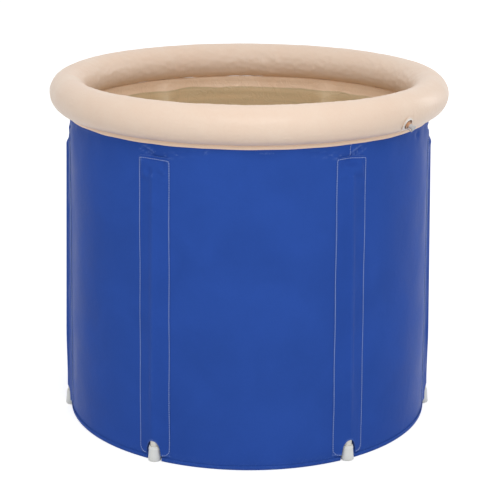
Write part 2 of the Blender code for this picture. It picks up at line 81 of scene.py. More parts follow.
blue_worn_colour = (0.060, 0.130, 0.420, 1)
# Painted glint colour for sharp crests, in part the coating's whitening there.
blue_glint_colour = (0.150, 0.240, 0.560, 1)
blue_shine = {"Specular IOR Level": 0.03, "Specular Tint": (0.35, 0.39, 0.50, 1)}
drain_point = Vector((0, 0.349223, 0.046))
drain_outward = Vector((0, 0.999857, 0.016892))
drain_hole_radius = 0.0128
drain_hole_depth = 0.06


def add_node(tree, kind, inputs=None, **settings):
    """A node in a tree. inputs gives its sockets values or links, by name or number."""
    node = tree.nodes.new(kind)
    for key, value in settings.items():
        setattr(node, key, value)
    for key, value in (inputs or {}).items():
        if isinstance(value, bpy.types.NodeSocket):
            tree.links.new(value, node.inputs[key])
        else:
            node.inputs[key].default_value = value
    return node


def calculate(tree, operation, *values):
    """The result of a Math node."""
    return add_node(tree, "ShaderNodeMath", dict(enumerate(values)), operation=operation).outputs[0]


def blend_colours(tree, share, low, high, blend_type="MIX"):
    """The result of a colour Mix node."""
    inputs = {0: share, 6: low, 7: high}
    return add_node(tree, "ShaderNodeMix", inputs, data_type="RGBA", blend_type=blend_type).outputs[2]


def reckon(tree, operation, *values, **inputs):
    """The result of a Vector Math node."""
    inputs.update(enumerate(values))
    node = add_node(tree, "ShaderNodeVectorMath", inputs, operation=operation)
    return node.outputs["Value" if operation in ("LENGTH", "DISTANCE") else "Vector"]


def spread(tree, value, low, high, to_low, to_high):
    """A value moved from one range to another, and kept within it."""
    inputs = {"Value": value, "From Min": low, "From Max": high, "To Min": to_low, "To Max": to_high}
    return add_node(tree, "ShaderNodeMapRange", inputs, clamp=True).outputs["Result"]


def noise(tree, place, scale, detail=2.0, distortion=0.0):
    """The value of a Noise Texture at a place."""
    inputs = {"Vector": place, "Scale": scale, "Detail": detail, "Distortion": distortion}
    return add_node(tree, "ShaderNodeTexNoise", inputs).outputs["Fac"]


def new_group(name, values):
    """A shader node group with named inputs. It gives the tree, its inputs and the surface's coordinates."""
    tree = bpy.data.node_groups.new(name, "ShaderNodeTree")
    for label, value in values.items():
        kind = {1: "Float", 3: "Vector", 4: "Color"}[np.size(value)]
        socket = tree.interface.new_socket(label, in_out="INPUT", socket_type="NodeSocket" + kind)
        socket.default_value = value
    for label, kind in {"Color": "Color", "Roughness": "Float", "Height": "Float"}.items():
        tree.interface.new_socket(label, in_out="OUTPUT", socket_type="NodeSocket" + kind)
    return tree, tree.nodes.new("NodeGroupInput").outputs, tree.nodes.new("ShaderNodeTexCoord").outputs


def finish_group(tree, colour, roughness, height):
    """A group with its three results linked."""
    add_node(tree, "NodeGroupOutput", {"Color": colour, "Roughness": roughness, "Height": height})
    return tree


def new_material(name, group, inputs=None, sockets=None):
    """A material with a group's colour, roughness and relief. sockets are the shader's own values."""
    material = bpy.data.materials.new(name)
    material.use_nodes = True
    tree = material.node_tree
    shader = tree.nodes["Principled BSDF"]
    for key, value in (sockets or {}).items():
        shader.inputs[key].default_value = value
    finish = add_node(tree, "ShaderNodeGroup", node_tree=group)
    for key, value in (inputs or {}).items():
        finish.inputs[key].default_value = value
    bump = add_node(tree, "ShaderNodeBump", {"Height": finish.outputs["Height"], "Distance": 1.0})
    tree.links.new(finish.outputs["Color"], shader.inputs["Base Color"])
    tree.links.new(finish.outputs["Roughness"], shader.inputs["Roughness"])
    tree.links.new(bump.outputs["Normal"], shader.inputs["Normal"])
    return material


def coated_weave_group():
    """Woven cloth under a soft coating: threads, slack ripples, faint clouds, pale scuffs at its foot, and a
    painted glint on sharp crests, in part the coating's whitening there.
    """
    tree, given, place = new_group(
        "coated_weave",
        {
            "Color": blue_colour,
            "Worn Color": blue_worn_colour,
            "Glint Color": blue_glint_colour,
            "Roughness": 0.45,
            "Thread Pitch": 0.0009,
            "Thread Height": 0.00002,
            "Ripple Height": 0.0004,
        },
    )
    cut = add_node(tree, "ShaderNodeSeparateXYZ", {0: place["UV"]})
    upright = add_node(tree, "ShaderNodeSeparateXYZ", {0: place["Object"]})
    turns = calculate(tree, "DIVIDE", math.pi, given["Thread Pitch"])
    warp = calculate(tree, "SINE", calculate(tree, "MULTIPLY", cut.outputs["X"], turns))
    weft = calculate(tree, "SINE", calculate(tree, "MULTIPLY", cut.outputs["Y"], turns))
    threads = calculate(tree, "MULTIPLY", warp, weft)
    clouds = noise(tree, place["Object"], 11.0, 3.0, 0.4)
    specks = noise(tree, place["Object"], 260.0, 3.0)
    ripples = noise(tree, place["Object"], 34.0, 2.5, 0.8)
    streaks = noise(tree, place["Object"], 150.0, 4.0, 2.0)
    low_down = spread(tree, upright.outputs["Z"], 0.0, 0.022, 1.0, 0.0)
    scuffs = calculate(tree, "MULTIPLY", low_down, spread(tree, streaks, 0.48, 0.66, 0.0, 0.7))
    shade = spread(tree, clouds, 0.3, 0.7, 0.94, 1.05)
    grain = spread(tree, specks, 0.3, 0.7, 0.985, 1.015)
    tone = calculate(tree, "MULTIPLY", shade, grain)
    grey = add_node(tree, "ShaderNodeCombineColor", {0: tone, 1: tone, 2: tone}).outputs[0]
    body = blend_colours(tree, 1.0, given["Color"], grey, "MULTIPLY")
    colour = blend_colours(tree, scuffs, body, given["Worn Color"])
    # Painted glint: the sheet's sharp crests are paled towards the glint colour in streaks, in part the
    # coating's whitening there.
    crest = add_node(tree, "ShaderNodeAttribute", attribute_name="Crest Glint").outputs["Fac"]
    crest = calculate(tree, "MULTIPLY", crest, spread(tree, streaks, 0.40, 0.60, 0.12, 0.62))
    colour = blend_colours(tree, crest, colour, given["Glint Color"])
    gloss = calculate(tree, "ADD", given["Roughness"], spread(tree, clouds, 0.3, 0.7, -0.05, 0.05))
    gloss = calculate(tree, "ADD", gloss, calculate(tree, "MULTIPLY", scuffs, 0.2))
    relief = calculate(tree, "MULTIPLY", threads, given["Thread Height"])
    slack = calculate(tree, "MULTIPLY", ripples, given["Ripple Height"])
    relief = calculate(tree, "ADD", relief, slack)
    relief = calculate(tree, "MULTIPLY_ADD", specks, 0.00003, relief)
    return finish_group(tree, colour, gloss, relief)


def wall_radius(height):
    """The outer skin's radius halfway between two poles."""
    return base_radius + (rim_radius - base_radius) * height / wall_height


def fade(value, low, high):
    """Rises smoothly from 0 at low to 1 at high."""
    share = np.clip((np.asarray(value, float) - low) / (high - low), 0, 1)
    return share * share * (3 - 2 * share)


def band(value, start, full, end, gone):
    """Rises from 0 at start to 1 at full, and falls from 1 at end back to 0 at gone."""
    return fade(value, start, full) * (1 - fade(value, end, gone))


def pole_distance(angle):
    """How far angles in degrees are from the nearest pole."""
    turns = [(angle - station + 180) % 360 - 180 for station in pole_angles.values()]
    return np.min(np.abs(turns), axis=0)


def draw_in(angle, height):
    """How far a pole holds the wall in from its round: a narrow fold, snug round its foot at the floor."""
    away = pole_distance(np.asarray(angle, float))
    depth = np.interp(height, (0, pole_top_height, skirt_low), (base_draw, pole_top_draw, rim_draw))
    share = 1 - np.hypot(away / fold_angle, 0.06)
    share = (share + np.hypot(share, 0.03)) / 2
    snug = np.sqrt(np.clip(1 - (np.radians(away) * base_radius / foot_nest) ** 2, 0, 1))
    return depth * (share + (snug - share) * (1 - fade(height, 0.012, 0.070)))


def around(angle, radius, height):
    """Points at angles in degrees from the front, positive towards +X."""
    turn = np.radians(angle)
    return np.stack(np.broadcast_arrays(radius * np.sin(turn), -radius * np.cos(turn), height), axis=-1)


def soft_noise(across, along, cells, seed):
    """Smooth random relief, mostly within -0.8 and 0.8, over shares from 0 to 1. across closes on itself."""
    knots = np.random.default_rng(seed).uniform(-1, 1, (cells[0], cells[1] + 3))

    def weights(share):
        rest = 1 - share
        middle = 3 * share**3 - 6 * share**2 + 4
        return rest**3 / 6, middle / 6, (4 - 6 * rest**2 + 3 * rest**3) / 6, share**3 / 6

    column = np.asarray(across, float) * cells[0]
    row = np.clip(np.asarray(along, float), 0, 0.999999) * cells[1]
    column, row = np.broadcast_arrays(column, row)
    first, low = np.floor(column).astype(int), np.floor(row).astype(int)
    total = 0
    for i, one in enumerate(weights(column - first)):
        for j, other in enumerate(weights(row - low)):
            total = total + one * other * knots[(first + i) % cells[0], low + j]
    return total


def loft(name, points, closed_round=True, closed_along=False):
    """A mesh over rows and columns of points, with a UV map in metres."""
    rows, columns = points.shape[:2]
    grid = np.arange(rows * columns).reshape(rows, columns)
    if closed_round:
        grid = np.concatenate((grid, grid[:, :1]), axis=1)
    if closed_along:
        grid = np.concatenate((grid, grid[:1]), axis=0)
    quads = np.stack((grid[:-1, :-1], grid[:-1, 1:], grid[1:, 1:], grid[1:, :-1]), axis=-1)
    mesh = bpy.data.meshes.new(name)
    mesh.from_pydata(points.reshape(-1, 3).tolist(), [], quads.reshape(-1, 4).tolist())
    net = points.reshape(-1, 3)[grid]
    across = np.linalg.norm(np.diff(net, axis=1), axis=2).mean(axis=0)
    along = np.linalg.norm(np.diff(net, axis=0), axis=2).mean(axis=1)
    cut = np.stack(np.meshgrid(np.append(0, np.cumsum(across)), np.append(0, np.cumsum(along))), axis=-1)
    corners = np.stack((cut[:-1, :-1], cut[:-1, 1:], cut[1:, 1:], cut[1:, :-1]), axis=2)
    mesh.uv_layers.new(name="Cut").data.foreach_set("uv", corners.ravel())
    return mesh


def add_object(name, data):
    """A new object in the scene."""
    obj = bpy.data.objects.new(name, data)
    bpy.context.scene.collection.objects.link(obj)
    return obj


def add_piece(name, mesh, material, body, slot, *replaced):
    """Puts a finished mesh in the scene as one piece on a body, in place of its solids."""
    mesh.materials.clear()
    mesh.materials.append(material)
    mesh.shade_smooth()
    mesh.set_sharp_from_angle(angle=math.radians(55))
    obj = add_object(name, mesh)
    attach(obj, body)
    if replaced:
        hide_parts(*replaced)
    return obj


def crease(arc, height, start, end):
    """How near points on the wall are to a straight crease, from 0 to 1, tapering to its far end."""
    run, rise = end[0] - start[0], end[1] - start[1]
    share = ((arc - start[0]) * run + (height - start[1]) * rise) / (run**2 + rise**2)
    held = np.clip(share, 0, 1)
    gap = np.hypot(arc - start[0] - held * run, height - start[1] - held * rise)
    return np.exp(-((gap / crease_width) ** 2)) * (1 - 0.5 * held) * fade(share, -0.10, 0.15)


def wall_relief(angle, height):
    """How far the slack sheet stands out from its round. It is tight over the poles and at both welds."""
    turn = (np.asarray(angle, float) + 180) % 360 - 180
    share_round = (turn + 180) / 360
    rise = np.asarray(height, float) / wall_height
    slack = fade(np.radians(pole_distance(turn)) * base_radius, 0.018, 0.070)
    creases = 0
    for place, station in pole_angles.items():
        arc = np.radians((turn - station + 180) % 360 - 180) * base_radius
        arc = arc if place.endswith("left") else -arc
        for share_of_depth, start, end in crease_lines:
            creases = creases + share_of_depth * crease(arc, height, start, end)
    broad = 0.0036 * soft_noise(share_round, rise, (26, 6), 3)
    broad = broad + 0.0010 * soft_noise(share_round, rise, (70, 16), 5)
    puckers = 0.0028 * soft_noise(share_round, rise, (110, 9), 8) * fade(rise, 0.86, 0.97)
    away = np.radians(turn - dimple_angle) * base_radius
    dimple = np.exp(-((away / 0.0065) ** 2) - ((height - dimple_height) / 0.006) ** 2)
    held = band(height, 0.004, 0.050, 0.577, skirt_low)
    relief = slack * broad + puckers * fade(slack, 0, 0.5)
    return held * (relief - crease_depth * creases - dimple_depth * dimple)


def skin_radius(angle, height):
    """The radius of the outer skin's face."""
    return wall_radius(height) - draw_in(angle, height) + wall_relief(angle, height)


def column_angles(step):
    """Angles round the wall in even steps, and in finer ones over the poles' folds."""
    even = np.arange(0, 360, step)
    steps = np.linspace(-fine_reach, fine_reach, fine_columns)
    fine = [(station + steps) % 360 for station in pole_angles.values()]
    return np.sort(np.concatenate([even[pole_distance(even) > fine_reach + 0.3], *fine]))


def wall_shell(name, step, outside_rows, inside_rows, low, high, outer, inner):
    """A closed band of the wall. outer and inner give the radii of its two faces."""
    angle = column_angles(step)
    up = low + (high - low) * (1 - (1 - np.linspace(0, 1, outside_rows)) ** 1.25)
    down = np.linspace(high, low, inside_rows)
    turn, rise = np.meshgrid(angle, up)
    outside = around(turn, outer(turn, rise), rise)
    turn, rise = np.meshgrid(angle, down)
    inside = around(turn, inner(turn, rise), rise)
    return loft(name, np.concatenate((outside, inside)), closed_along=True)


def made_plain(obj):
    """The mesh that an object's modifiers give. The object itself goes."""
    graph = bpy.context.evaluated_depsgraph_get()
    mesh = bpy.data.meshes.new_from_object(obj.evaluated_get(graph), depsgraph=graph)
    bpy.data.objects.remove(obj)
    return mesh


def with_drain_hole(mesh):
    """A mesh of the wall with the round hole that the drain goes through."""
    turn = drain_outward.to_track_quat("Z", "Y").to_matrix().to_4x4()
    shape = bmesh.new()
    bmesh.ops.create_cone(
        shape,
        cap_ends=True,
        segments=64,
        radius1=drain_hole_radius,
        radius2=drain_hole_radius,
        depth=drain_hole_depth,
        matrix=Matrix.Translation(drain_point) @ turn,
    )
    punch_mesh = bpy.data.meshes.new("punch")
    shape.to_mesh(punch_mesh)
    shape.free()
    punch = add_object("punch", punch_mesh)
    blank = add_object("blank", mesh)
    hole = blank.modifiers.new("Hole", "BOOLEAN")
    hole.operation = "DIFFERENCE"
    hole.solver = "EXACT"
    hole.object = punch
    cut = made_plain(blank)
    bpy.data.objects.remove(punch)
    return cut


def mark_crest_glints(mesh, low, high):
    """Stores where a point stands out from its neighbours, for a painted glint on sharp crests, in part the
    coating's whitening there.
    """
    place = np.empty(3 * len(mesh.vertices))
    mesh.vertices.foreach_get("co", place)
    place = place.reshape(-1, 3)
    outward = np.empty(3 * len(mesh.vertices))
    mesh.vertex_normals.foreach_get("vector", outward)
    ends = np.empty(2 * len(mesh.edges), dtype=np.int32)
    mesh.edges.foreach_get("vertices", ends)
    ends = ends.reshape(-1, 2)
    total = np.zeros_like(place)
    np.add.at(total, ends[:, 0], place[ends[:, 1]])
    np.add.at(total, ends[:, 1], place[ends[:, 0]])
    middle = total / np.bincount(ends.ravel(), minlength=len(place))[:, None]
    crest = ((place - middle) * outward.reshape(-1, 3)).sum(axis=1)
    mesh.attributes.new("Crest Glint", "FLOAT", "POINT").data.foreach_set("value", fade(crest, low, high))


coated_weave = coated_weave_group()
blue_sheet = new_material(
    "blue_coated_sheet",
    coated_weave,
    {"Roughness": 0.40, "Ripple Height": 0.0005},
    blue_shine,
)
skin_mesh = wall_shell(
    "wall_skin",
    column_step,
    outside_rows=110,
    inside_rows=60,
    low=skin_low,
    high=wall_height,
    outer=skin_radius,
    inner=lambda angle, height: skin_radius(angle, height) - skin_thickness,
)
skin_mesh = with_drain_hole(skin_mesh)
# The skin's sharp crests are marked for their painted glint.
mark_crest_glints(skin_mesh, low=0.00022, high=0.00060)
wall_skin = add_piece("wall_skin", skin_mesh, blue_sheet, "tub", "blue_sheet", "outer_skin")

# The insulation is a 5 mm sheet of closed-cell foam between the skin and the liner. It is bonded to both
# at the rim and the foot, gives the wall its body, and follows the skin's slack. Its colour is a pale
# grey.
foam_thickness = 0.0050
foam_inset = skin_thickness + seat_gap


def closed_cell_foam_group():
    """Foam with small closed cells, painted shade in the grooves between them, and a slightly uneven cut
    face.
    """
    tree, given, place = new_group(
        "closed_cell_foam",
        {"Color": (0.75, 0.76, 0.78, 1), "Cell Size": 0.0009},
    )
    density = calculate(tree, "DIVIDE", 1.0, given["Cell Size"])
    cells = {"Vector": place["Object"], "Scale": density}
    cells = add_node(tree, "ShaderNodeTexVoronoi", cells).outputs["Distance"]
    waves = noise(tree, place["Object"], 60.0, 3.0)
    # Painted shade: the foam darkens towards the grooves between its cells.
    groove_shade = spread(tree, cells, 0.0, 0.9, 0.0, 0.16)
    colour = blend_colours(tree, groove_shade, given["Color"], (0.42, 0.43, 0.46, 1))
    gloss = spread(tree, waves, 0.3, 0.7, 0.86, 0.95)
    relief = calculate(tree, "MULTIPLY_ADD", waves, 0.0003, calculate(tree, "MULTIPLY", cells, -0.00012))
    return finish_group(tree, colour, gloss, relief)


def drawn_radius(inset):
    """Gives the radius of a smooth layer of the wall, this far in from the skin's face."""
    return lambda angle, height: wall_radius(height) - draw_in(angle, height) - inset


pale_foam = new_material("pale_foam", closed_cell_foam_group(), sockets={"Specular IOR Level": 0.3})
foam_mesh = wall_shell(
    "wall_foam",
    step=1.5,
    outside_rows=80,
    inside_rows=12,
    low=skin_low,
    high=wall_height,
    outer=lambda angle, height: skin_radius(angle, height) - foam_inset,
    inner=drawn_radius(foam_inset + foam_thickness),
)
foam_mesh = with_drain_hole(foam_mesh)
wall_foam = add_piece("wall_foam", foam_mesh, pale_foam, "tub", "foam", "insulation")

# The inner liner is a vinyl film, peach in a band under the ring. Below that band its colour is painted
# olive tan, with darker level streaks and a darker line at the border: painted water in the tub, with its
# shade and reflections. It is welded to the ring and to the floor liner, and cut a little too tall and too
# wide for the wall, so it lies in long, mostly level folds.
liner_inset = 0.0066
liner_thickness = 0.0008
liner_low = 0.0077
liner_top = 0.5933
liner_colour = (0.940, 0.730, 0.545, 1)
# Painted water colour for the liner's lower part, and the level where it starts.
painted_water_colour = (0.740, 0.570, 0.350, 1)
painted_water_level = 0.5710


def soft_film_group():
    """Soft vinyl film: faint clouds, fine creases in all directions with painted shade in their grooves, a
    satin face that varies, a painted warm glow low down, and painted water below a level line.
    """
    tree, given, place = new_group(
        "soft_film",
        {
            "Color": (0.86, 0.70, 0.57, 1),
            "Deep Color": (0.78, 0.50, 0.36, 1),
            "Roughness": 0.34,
            "Crease Height": 0.0006,
            "Painted Water Color": (0.70, 0.56, 0.36, 1),
            "Painted Water Level": -1.0,
            # Painted glow: a lighter, warmer colour low on the film, fading out above its height.
            "Underside Glow Color": (0.97, 0.73, 0.55, 1),
            "Underside Glow Height": -1.0,
            "Underside Glow Reach": 0.0230,
        },
    )
    clouds = noise(tree, place["Object"], 13.0, 2.0, 0.5)
    fine = noise(tree, place["Object"], 330.0, 3.0)
    creases = noise(tree, place["Object"], 55.0, 2.0, 1.2)
    folded = calculate(tree, "ABSOLUTE", calculate(tree, "SUBTRACT", creases, 0.5))
    sharp = spread(tree, folded, 0.0, 0.09, 1.0, 0.0)
    deep = spread(tree, clouds, 0.25, 0.75, 0.0, 0.30)
    colour = blend_colours(tree, deep, given["Color"], given["Deep Color"])
    rise = add_node(tree, "ShaderNodeSeparateXYZ", {0: place["Object"]}).outputs["Z"]
    # Painted glow: at and below the glow height the film is lighter and warmer, fading over the reach above
    # it, standing in for light through and under the ring's film.
    over_glow_height = calculate(tree, "SUBTRACT", rise, given["Underside Glow Height"])
    over_glow_height = calculate(tree, "DIVIDE", over_glow_height, given["Underside Glow Reach"])
    warm = calculate(tree, "POWER", spread(tree, over_glow_height, 0.0, 1.0, 1.0, 0.0), 1.5)
    colour = blend_colours(tree, calculate(tree, "MULTIPLY", warm, 0.85), colour, given["Underside Glow Color"])
    # Painted water: below the level the film turns olive tan, with darker level streaks and a darker line
    # along the level, for the water's shade and reflections.
    level = calculate(tree, "SUBTRACT", rise, given["Painted Water Level"])
    level = calculate(tree, "MULTIPLY_ADD", noise(tree, place["Object"], 12.0), -0.012, level)
    below = spread(tree, level, -0.0070, -0.0050, 1.0, 0.0)
    near = calculate(tree, "ABSOLUTE", calculate(tree, "ADD", level, 0.0075))
    near = spread(tree, near, 0.0, 0.0030, 0.30, 0.0)
    flattened = reckon(tree, "MULTIPLY", place["Object"], (7, 7, 110))
    streaks = spread(tree, noise(tree, flattened, 1.0, 3.0), 0.35, 0.65, 0.0, 0.25)
    water_shade_share = calculate(tree, "ADD", streaks, near)
    water_colour = blend_colours(tree, water_shade_share, given["Painted Water Color"], (0.42, 0.36, 0.22, 1))
    colour = blend_colours(tree, below, colour, water_colour)
    # Painted shade: the creases' grooves are tinted a tenth of the way towards the deep colour.
    colour = blend_colours(tree, calculate(tree, "MULTIPLY", sharp, 0.10), colour, given["Deep Color"])
    gloss = calculate(tree, "ADD", given["Roughness"], spread(tree, fine, 0.3, 0.7, -0.04, 0.05))
    gloss = calculate(tree, "ADD", gloss, spread(tree, clouds, 0.3, 0.7, -0.03, 0.03))
    relief = calculate(tree, "MULTIPLY", sharp, calculate(tree, "MULTIPLY", given["Crease Height"], -0.3))
    relief = calculate(tree, "MULTIPLY_ADD", creases, given["Crease Height"], relief)
    relief = calculate(tree, "MULTIPLY_ADD", fine, 0.00002, relief)
    return finish_group(tree, colour, gloss, relief)


def liner_folds(angle, height):
    """How far the slack liner stands in from the foam: level folds, a bead on top, flat at the drain."""
    share = (np.asarray(angle, float) % 360) / 360
    rise = np.asarray(height, float) / wall_height
    long_folds = soft_noise(share, rise, (19, 15), 21)
    sharp_folds = 1 - 2.4 * np.abs(soft_noise(share, rise, (13, 19), 22))
    fine_folds = soft_noise(share, rise, (60, 40), 23)
    loose = band(height, 0.012, 0.060, 0.560, 0.583)
    arc = np.radians((np.asarray(angle, float) % 360) - 180) * base_radius
    loose = loose * fade(np.hypot(arc, height - drain_point.z), 0.026, 0.060)
    bead = 0.0009 * np.exp(-(((height - 0.5875) / 0.0028) ** 2))
    slack = 0.0024 + 0.0026 * long_folds + 0.0016 * sharp_folds + 0.0005 * fine_folds
    return loose * np.maximum(slack, 0) + bead


def folded_radius(inset):
    """Gives the radius of a face of the slack liner, this far in from the skin's face."""
    return lambda angle, height: drawn_radius(inset)(angle, height) - liner_folds(angle, height)


soft_film = soft_film_group()
liner_film = new_material(
    "liner_film",
    soft_film,
    {
        "Color": liner_colour,
        "Deep Color": (0.76, 0.47, 0.28, 1),
        "Roughness": 0.36,
        "Crease Height": 0.0008,
        "Painted Water Color": painted_water_colour,
        "Painted Water Level": painted_water_level,
    },
    {"Specular IOR Level": 0.5},
)
liner_mesh = wall_shell(
    "liner_wall",
    column_step,
    outside_rows=14,
    inside_rows=180,
    low=liner_low,
    high=liner_top,
    outer=folded_radius(liner_inset),
    inner=folded_radius(liner_inset + liner_thickness),
)
liner_mesh = with_drain_hole(liner_mesh)
liner_wall = add_piece("liner_wall", liner_mesh, liner_film, "tub", "liner_film", "inner_liner")

# The floor has three layers. The blue base sheet turns up round the skin's foot and is welded to it there
# as a lip. On it lies a foam pad, and on that the liner's round floor, whose edge is welded to the foot
# of the liner's wall.
base_sheet_thickness = 0.0010
base_lip_top = 0.0075
floor_pad_low = 0.0013
floor_pad_thickness = 0.0050
floor_liner_low = 0.0066
floor_liner_thickness = 0.0008
floor_columns = 300
floor_under_rows = 26
floor_top_rows = 44


def floor_shares(count):
    """Shares of a floor sheet's radius, from its middle to its edge, closer together near the edge."""
    return np.append(0.0004, np.linspace(0, 1, count)[1:] ** 0.85)


def floor_shell(name, edge, low, high, relief):
    """A round sheet on the floor. edge gives its radius, and relief how far its top stands up."""
    angle = np.arange(floor_columns) * 360 / floor_columns
    turn, share = np.meshgrid(angle, floor_shares(floor_under_rows))
    under = around(turn, share * edge(turn), low)
    turn, share = np.meshgrid(angle, floor_shares(floor_top_rows)[::-1])
    rise = high + relief(turn, share) * (1 - fade(share, 0.86, 1.0))
    return close_middle(loft(name, np.concatenate((under, around(turn, share * edge(turn), rise)))))


def close_middle(mesh):
    """Closes the small openings in the middle of a round sheet's two faces."""
    shape = bmesh.new()
    shape.from_mesh(mesh)
    bmesh.ops.holes_fill(shape, edges=[edge for edge in shape.edges if edge.is_boundary], sides=0)
    bmesh.ops.recalc_face_normals(shape, faces=shape.faces)
    shape.to_mesh(mesh)
    shape.free()
    return mesh


def base_sheet_points():
    """Rows of points from the middle of the underside, round the lip and back to the middle of the top."""
    angle = column_angles(column_step)
    edge = wall_radius(0.0) - draw_in(angle, 0.0) + seat_gap
    share = angle / 360
    loose = fade(pole_distance(angle), 3.0, 5.5)
    wave = loose * (0.0004 * soft_noise(share, 0.5, (150, 1), 31) + 0.0003)
    top = base_lip_top + loose * 0.0007 * soft_noise(share, 0.5, (90, 1), 32)
    outer = edge + base_sheet_thickness
    rows = [(portion * (outer - 0.0012), 0) for portion in floor_shares(20)]
    rows += [
        (outer - 0.0004, 0.0003),
        (outer, 0.0012),
        (outer + 0.4 * wave, 0.5 * top),
        (outer + wave, top - 0.0004),
        (outer + wave - 0.0003, top),
        (edge + wave * 0.5 + 0.0002, top),
        (edge, 0.6 * top),
        (edge, base_sheet_thickness),
    ]
    rows += [(portion * edge, base_sheet_thickness) for portion in floor_shares(12)[-2::-1]]
    return np.stack([around(angle, radius, height) for radius, height in rows])


base_mesh = close_middle(loft("floor_base", base_sheet_points()))
floor_base = add_piece("floor_base", base_mesh, blue_sheet, "tub", "blue_sheet", "base_sheet")
pad_mesh = floor_shell(
    "floor_foam",
    lambda angle: drawn_radius(liner_inset)(angle, floor_pad_low),
    floor_pad_low,
    floor_pad_low + floor_pad_thickness,
    lambda angle, share: 0,
)
floor_foam = add_piece("floor_foam", pad_mesh, pale_foam, "tub", "foam", "floor_pad")
film_mesh = floor_shell(
    "liner_floor",
    lambda angle: drawn_radius(liner_inset)(angle, floor_liner_low),
    floor_liner_low,
    floor_liner_low + floor_liner_thickness,
    lambda angle, share: 0.0012 + 0.0016 * soft_noise((angle % 360) / 360, share, (14, 5), 34),
)
floor_film = new_material(
    "floor_film",
    soft_film,
    {
        "Color": liner_colour,
        "Deep Color": (0.80, 0.55, 0.36, 1),
        "Roughness": 0.36,
        "Crease Height": 0.0008,
    },
    {"Specular IOR Level": 0.5},
)
liner_floor = add_piece("liner_floor", film_mesh, floor_film, "tub", "liner_film", "floor_liner")

# The rim is one inflated tube of peach vinyl film, blown up through the air valve. It is cut flat, so the
# slack film puckers on its inner side. A short band of the same film, the skirt, welds it to the top of
# the wall.
ring_centre_radius = 0.3414
ring_centre_height = 0.6265
ring_tube_radius = 0.0343
ring_film_thickness = 0.0006
skirt_thickness = 0.0008
valve_angle = math.radians(46.3)
valve_tilt = math.radians(-25)
valve_side = Vector((math.sin(valve_angle), -math.cos(valve_angle), 0))
valve_along = Vector((math.cos(valve_angle), math.sin(valve_angle), 0))
valve_outward = valve_side * math.cos(valve_tilt) + Vector((0, 0, math.sin(valve_tilt)))
valve_across = valve_outward.cross(valve_along)
ring_lift = Vector((0, 0, ring_centre_height))
valve_point = valve_side * ring_centre_radius + ring_lift + valve_outward * ring_tube_radius
valve_hole_radius = 0.0103
peach_colour = (0.850, 0.680, 0.548, 1)
peach_deep_colour = (0.800, 0.560, 0.420, 1)


def new_growth(name, **kinds):
    """A Geometry Nodes tree with named inputs of each kind. It gives the tree and its inputs."""
    tree = bpy.data.node_groups.new(name, "GeometryNodeTree")
    for kind, labels in kinds.items():
        for label in labels:
            tree.interface.new_socket(label, in_out="INPUT", socket_type="NodeSocket" + kind)
    tree.interface.new_socket("Geometry", in_out="OUTPUT", socket_type="NodeSocketGeometry")
    return tree, tree.nodes.new("NodeGroupInput").outputs


def finish_growth(tree, grown_parts, material):
    """A tree that ends in one plain mesh with its material."""
    plain = add_node(tree, "GeometryNodeRealizeInstances", {"Geometry": grown_parts})
    dressing = {"Geometry": plain.outputs[0], "Material": material}
    finished = add_node(tree, "GeometryNodeSetMaterial", dressing)
    add_node(tree, "NodeGroupOutput", {"Geometry": finished.outputs[0]})
    return tree


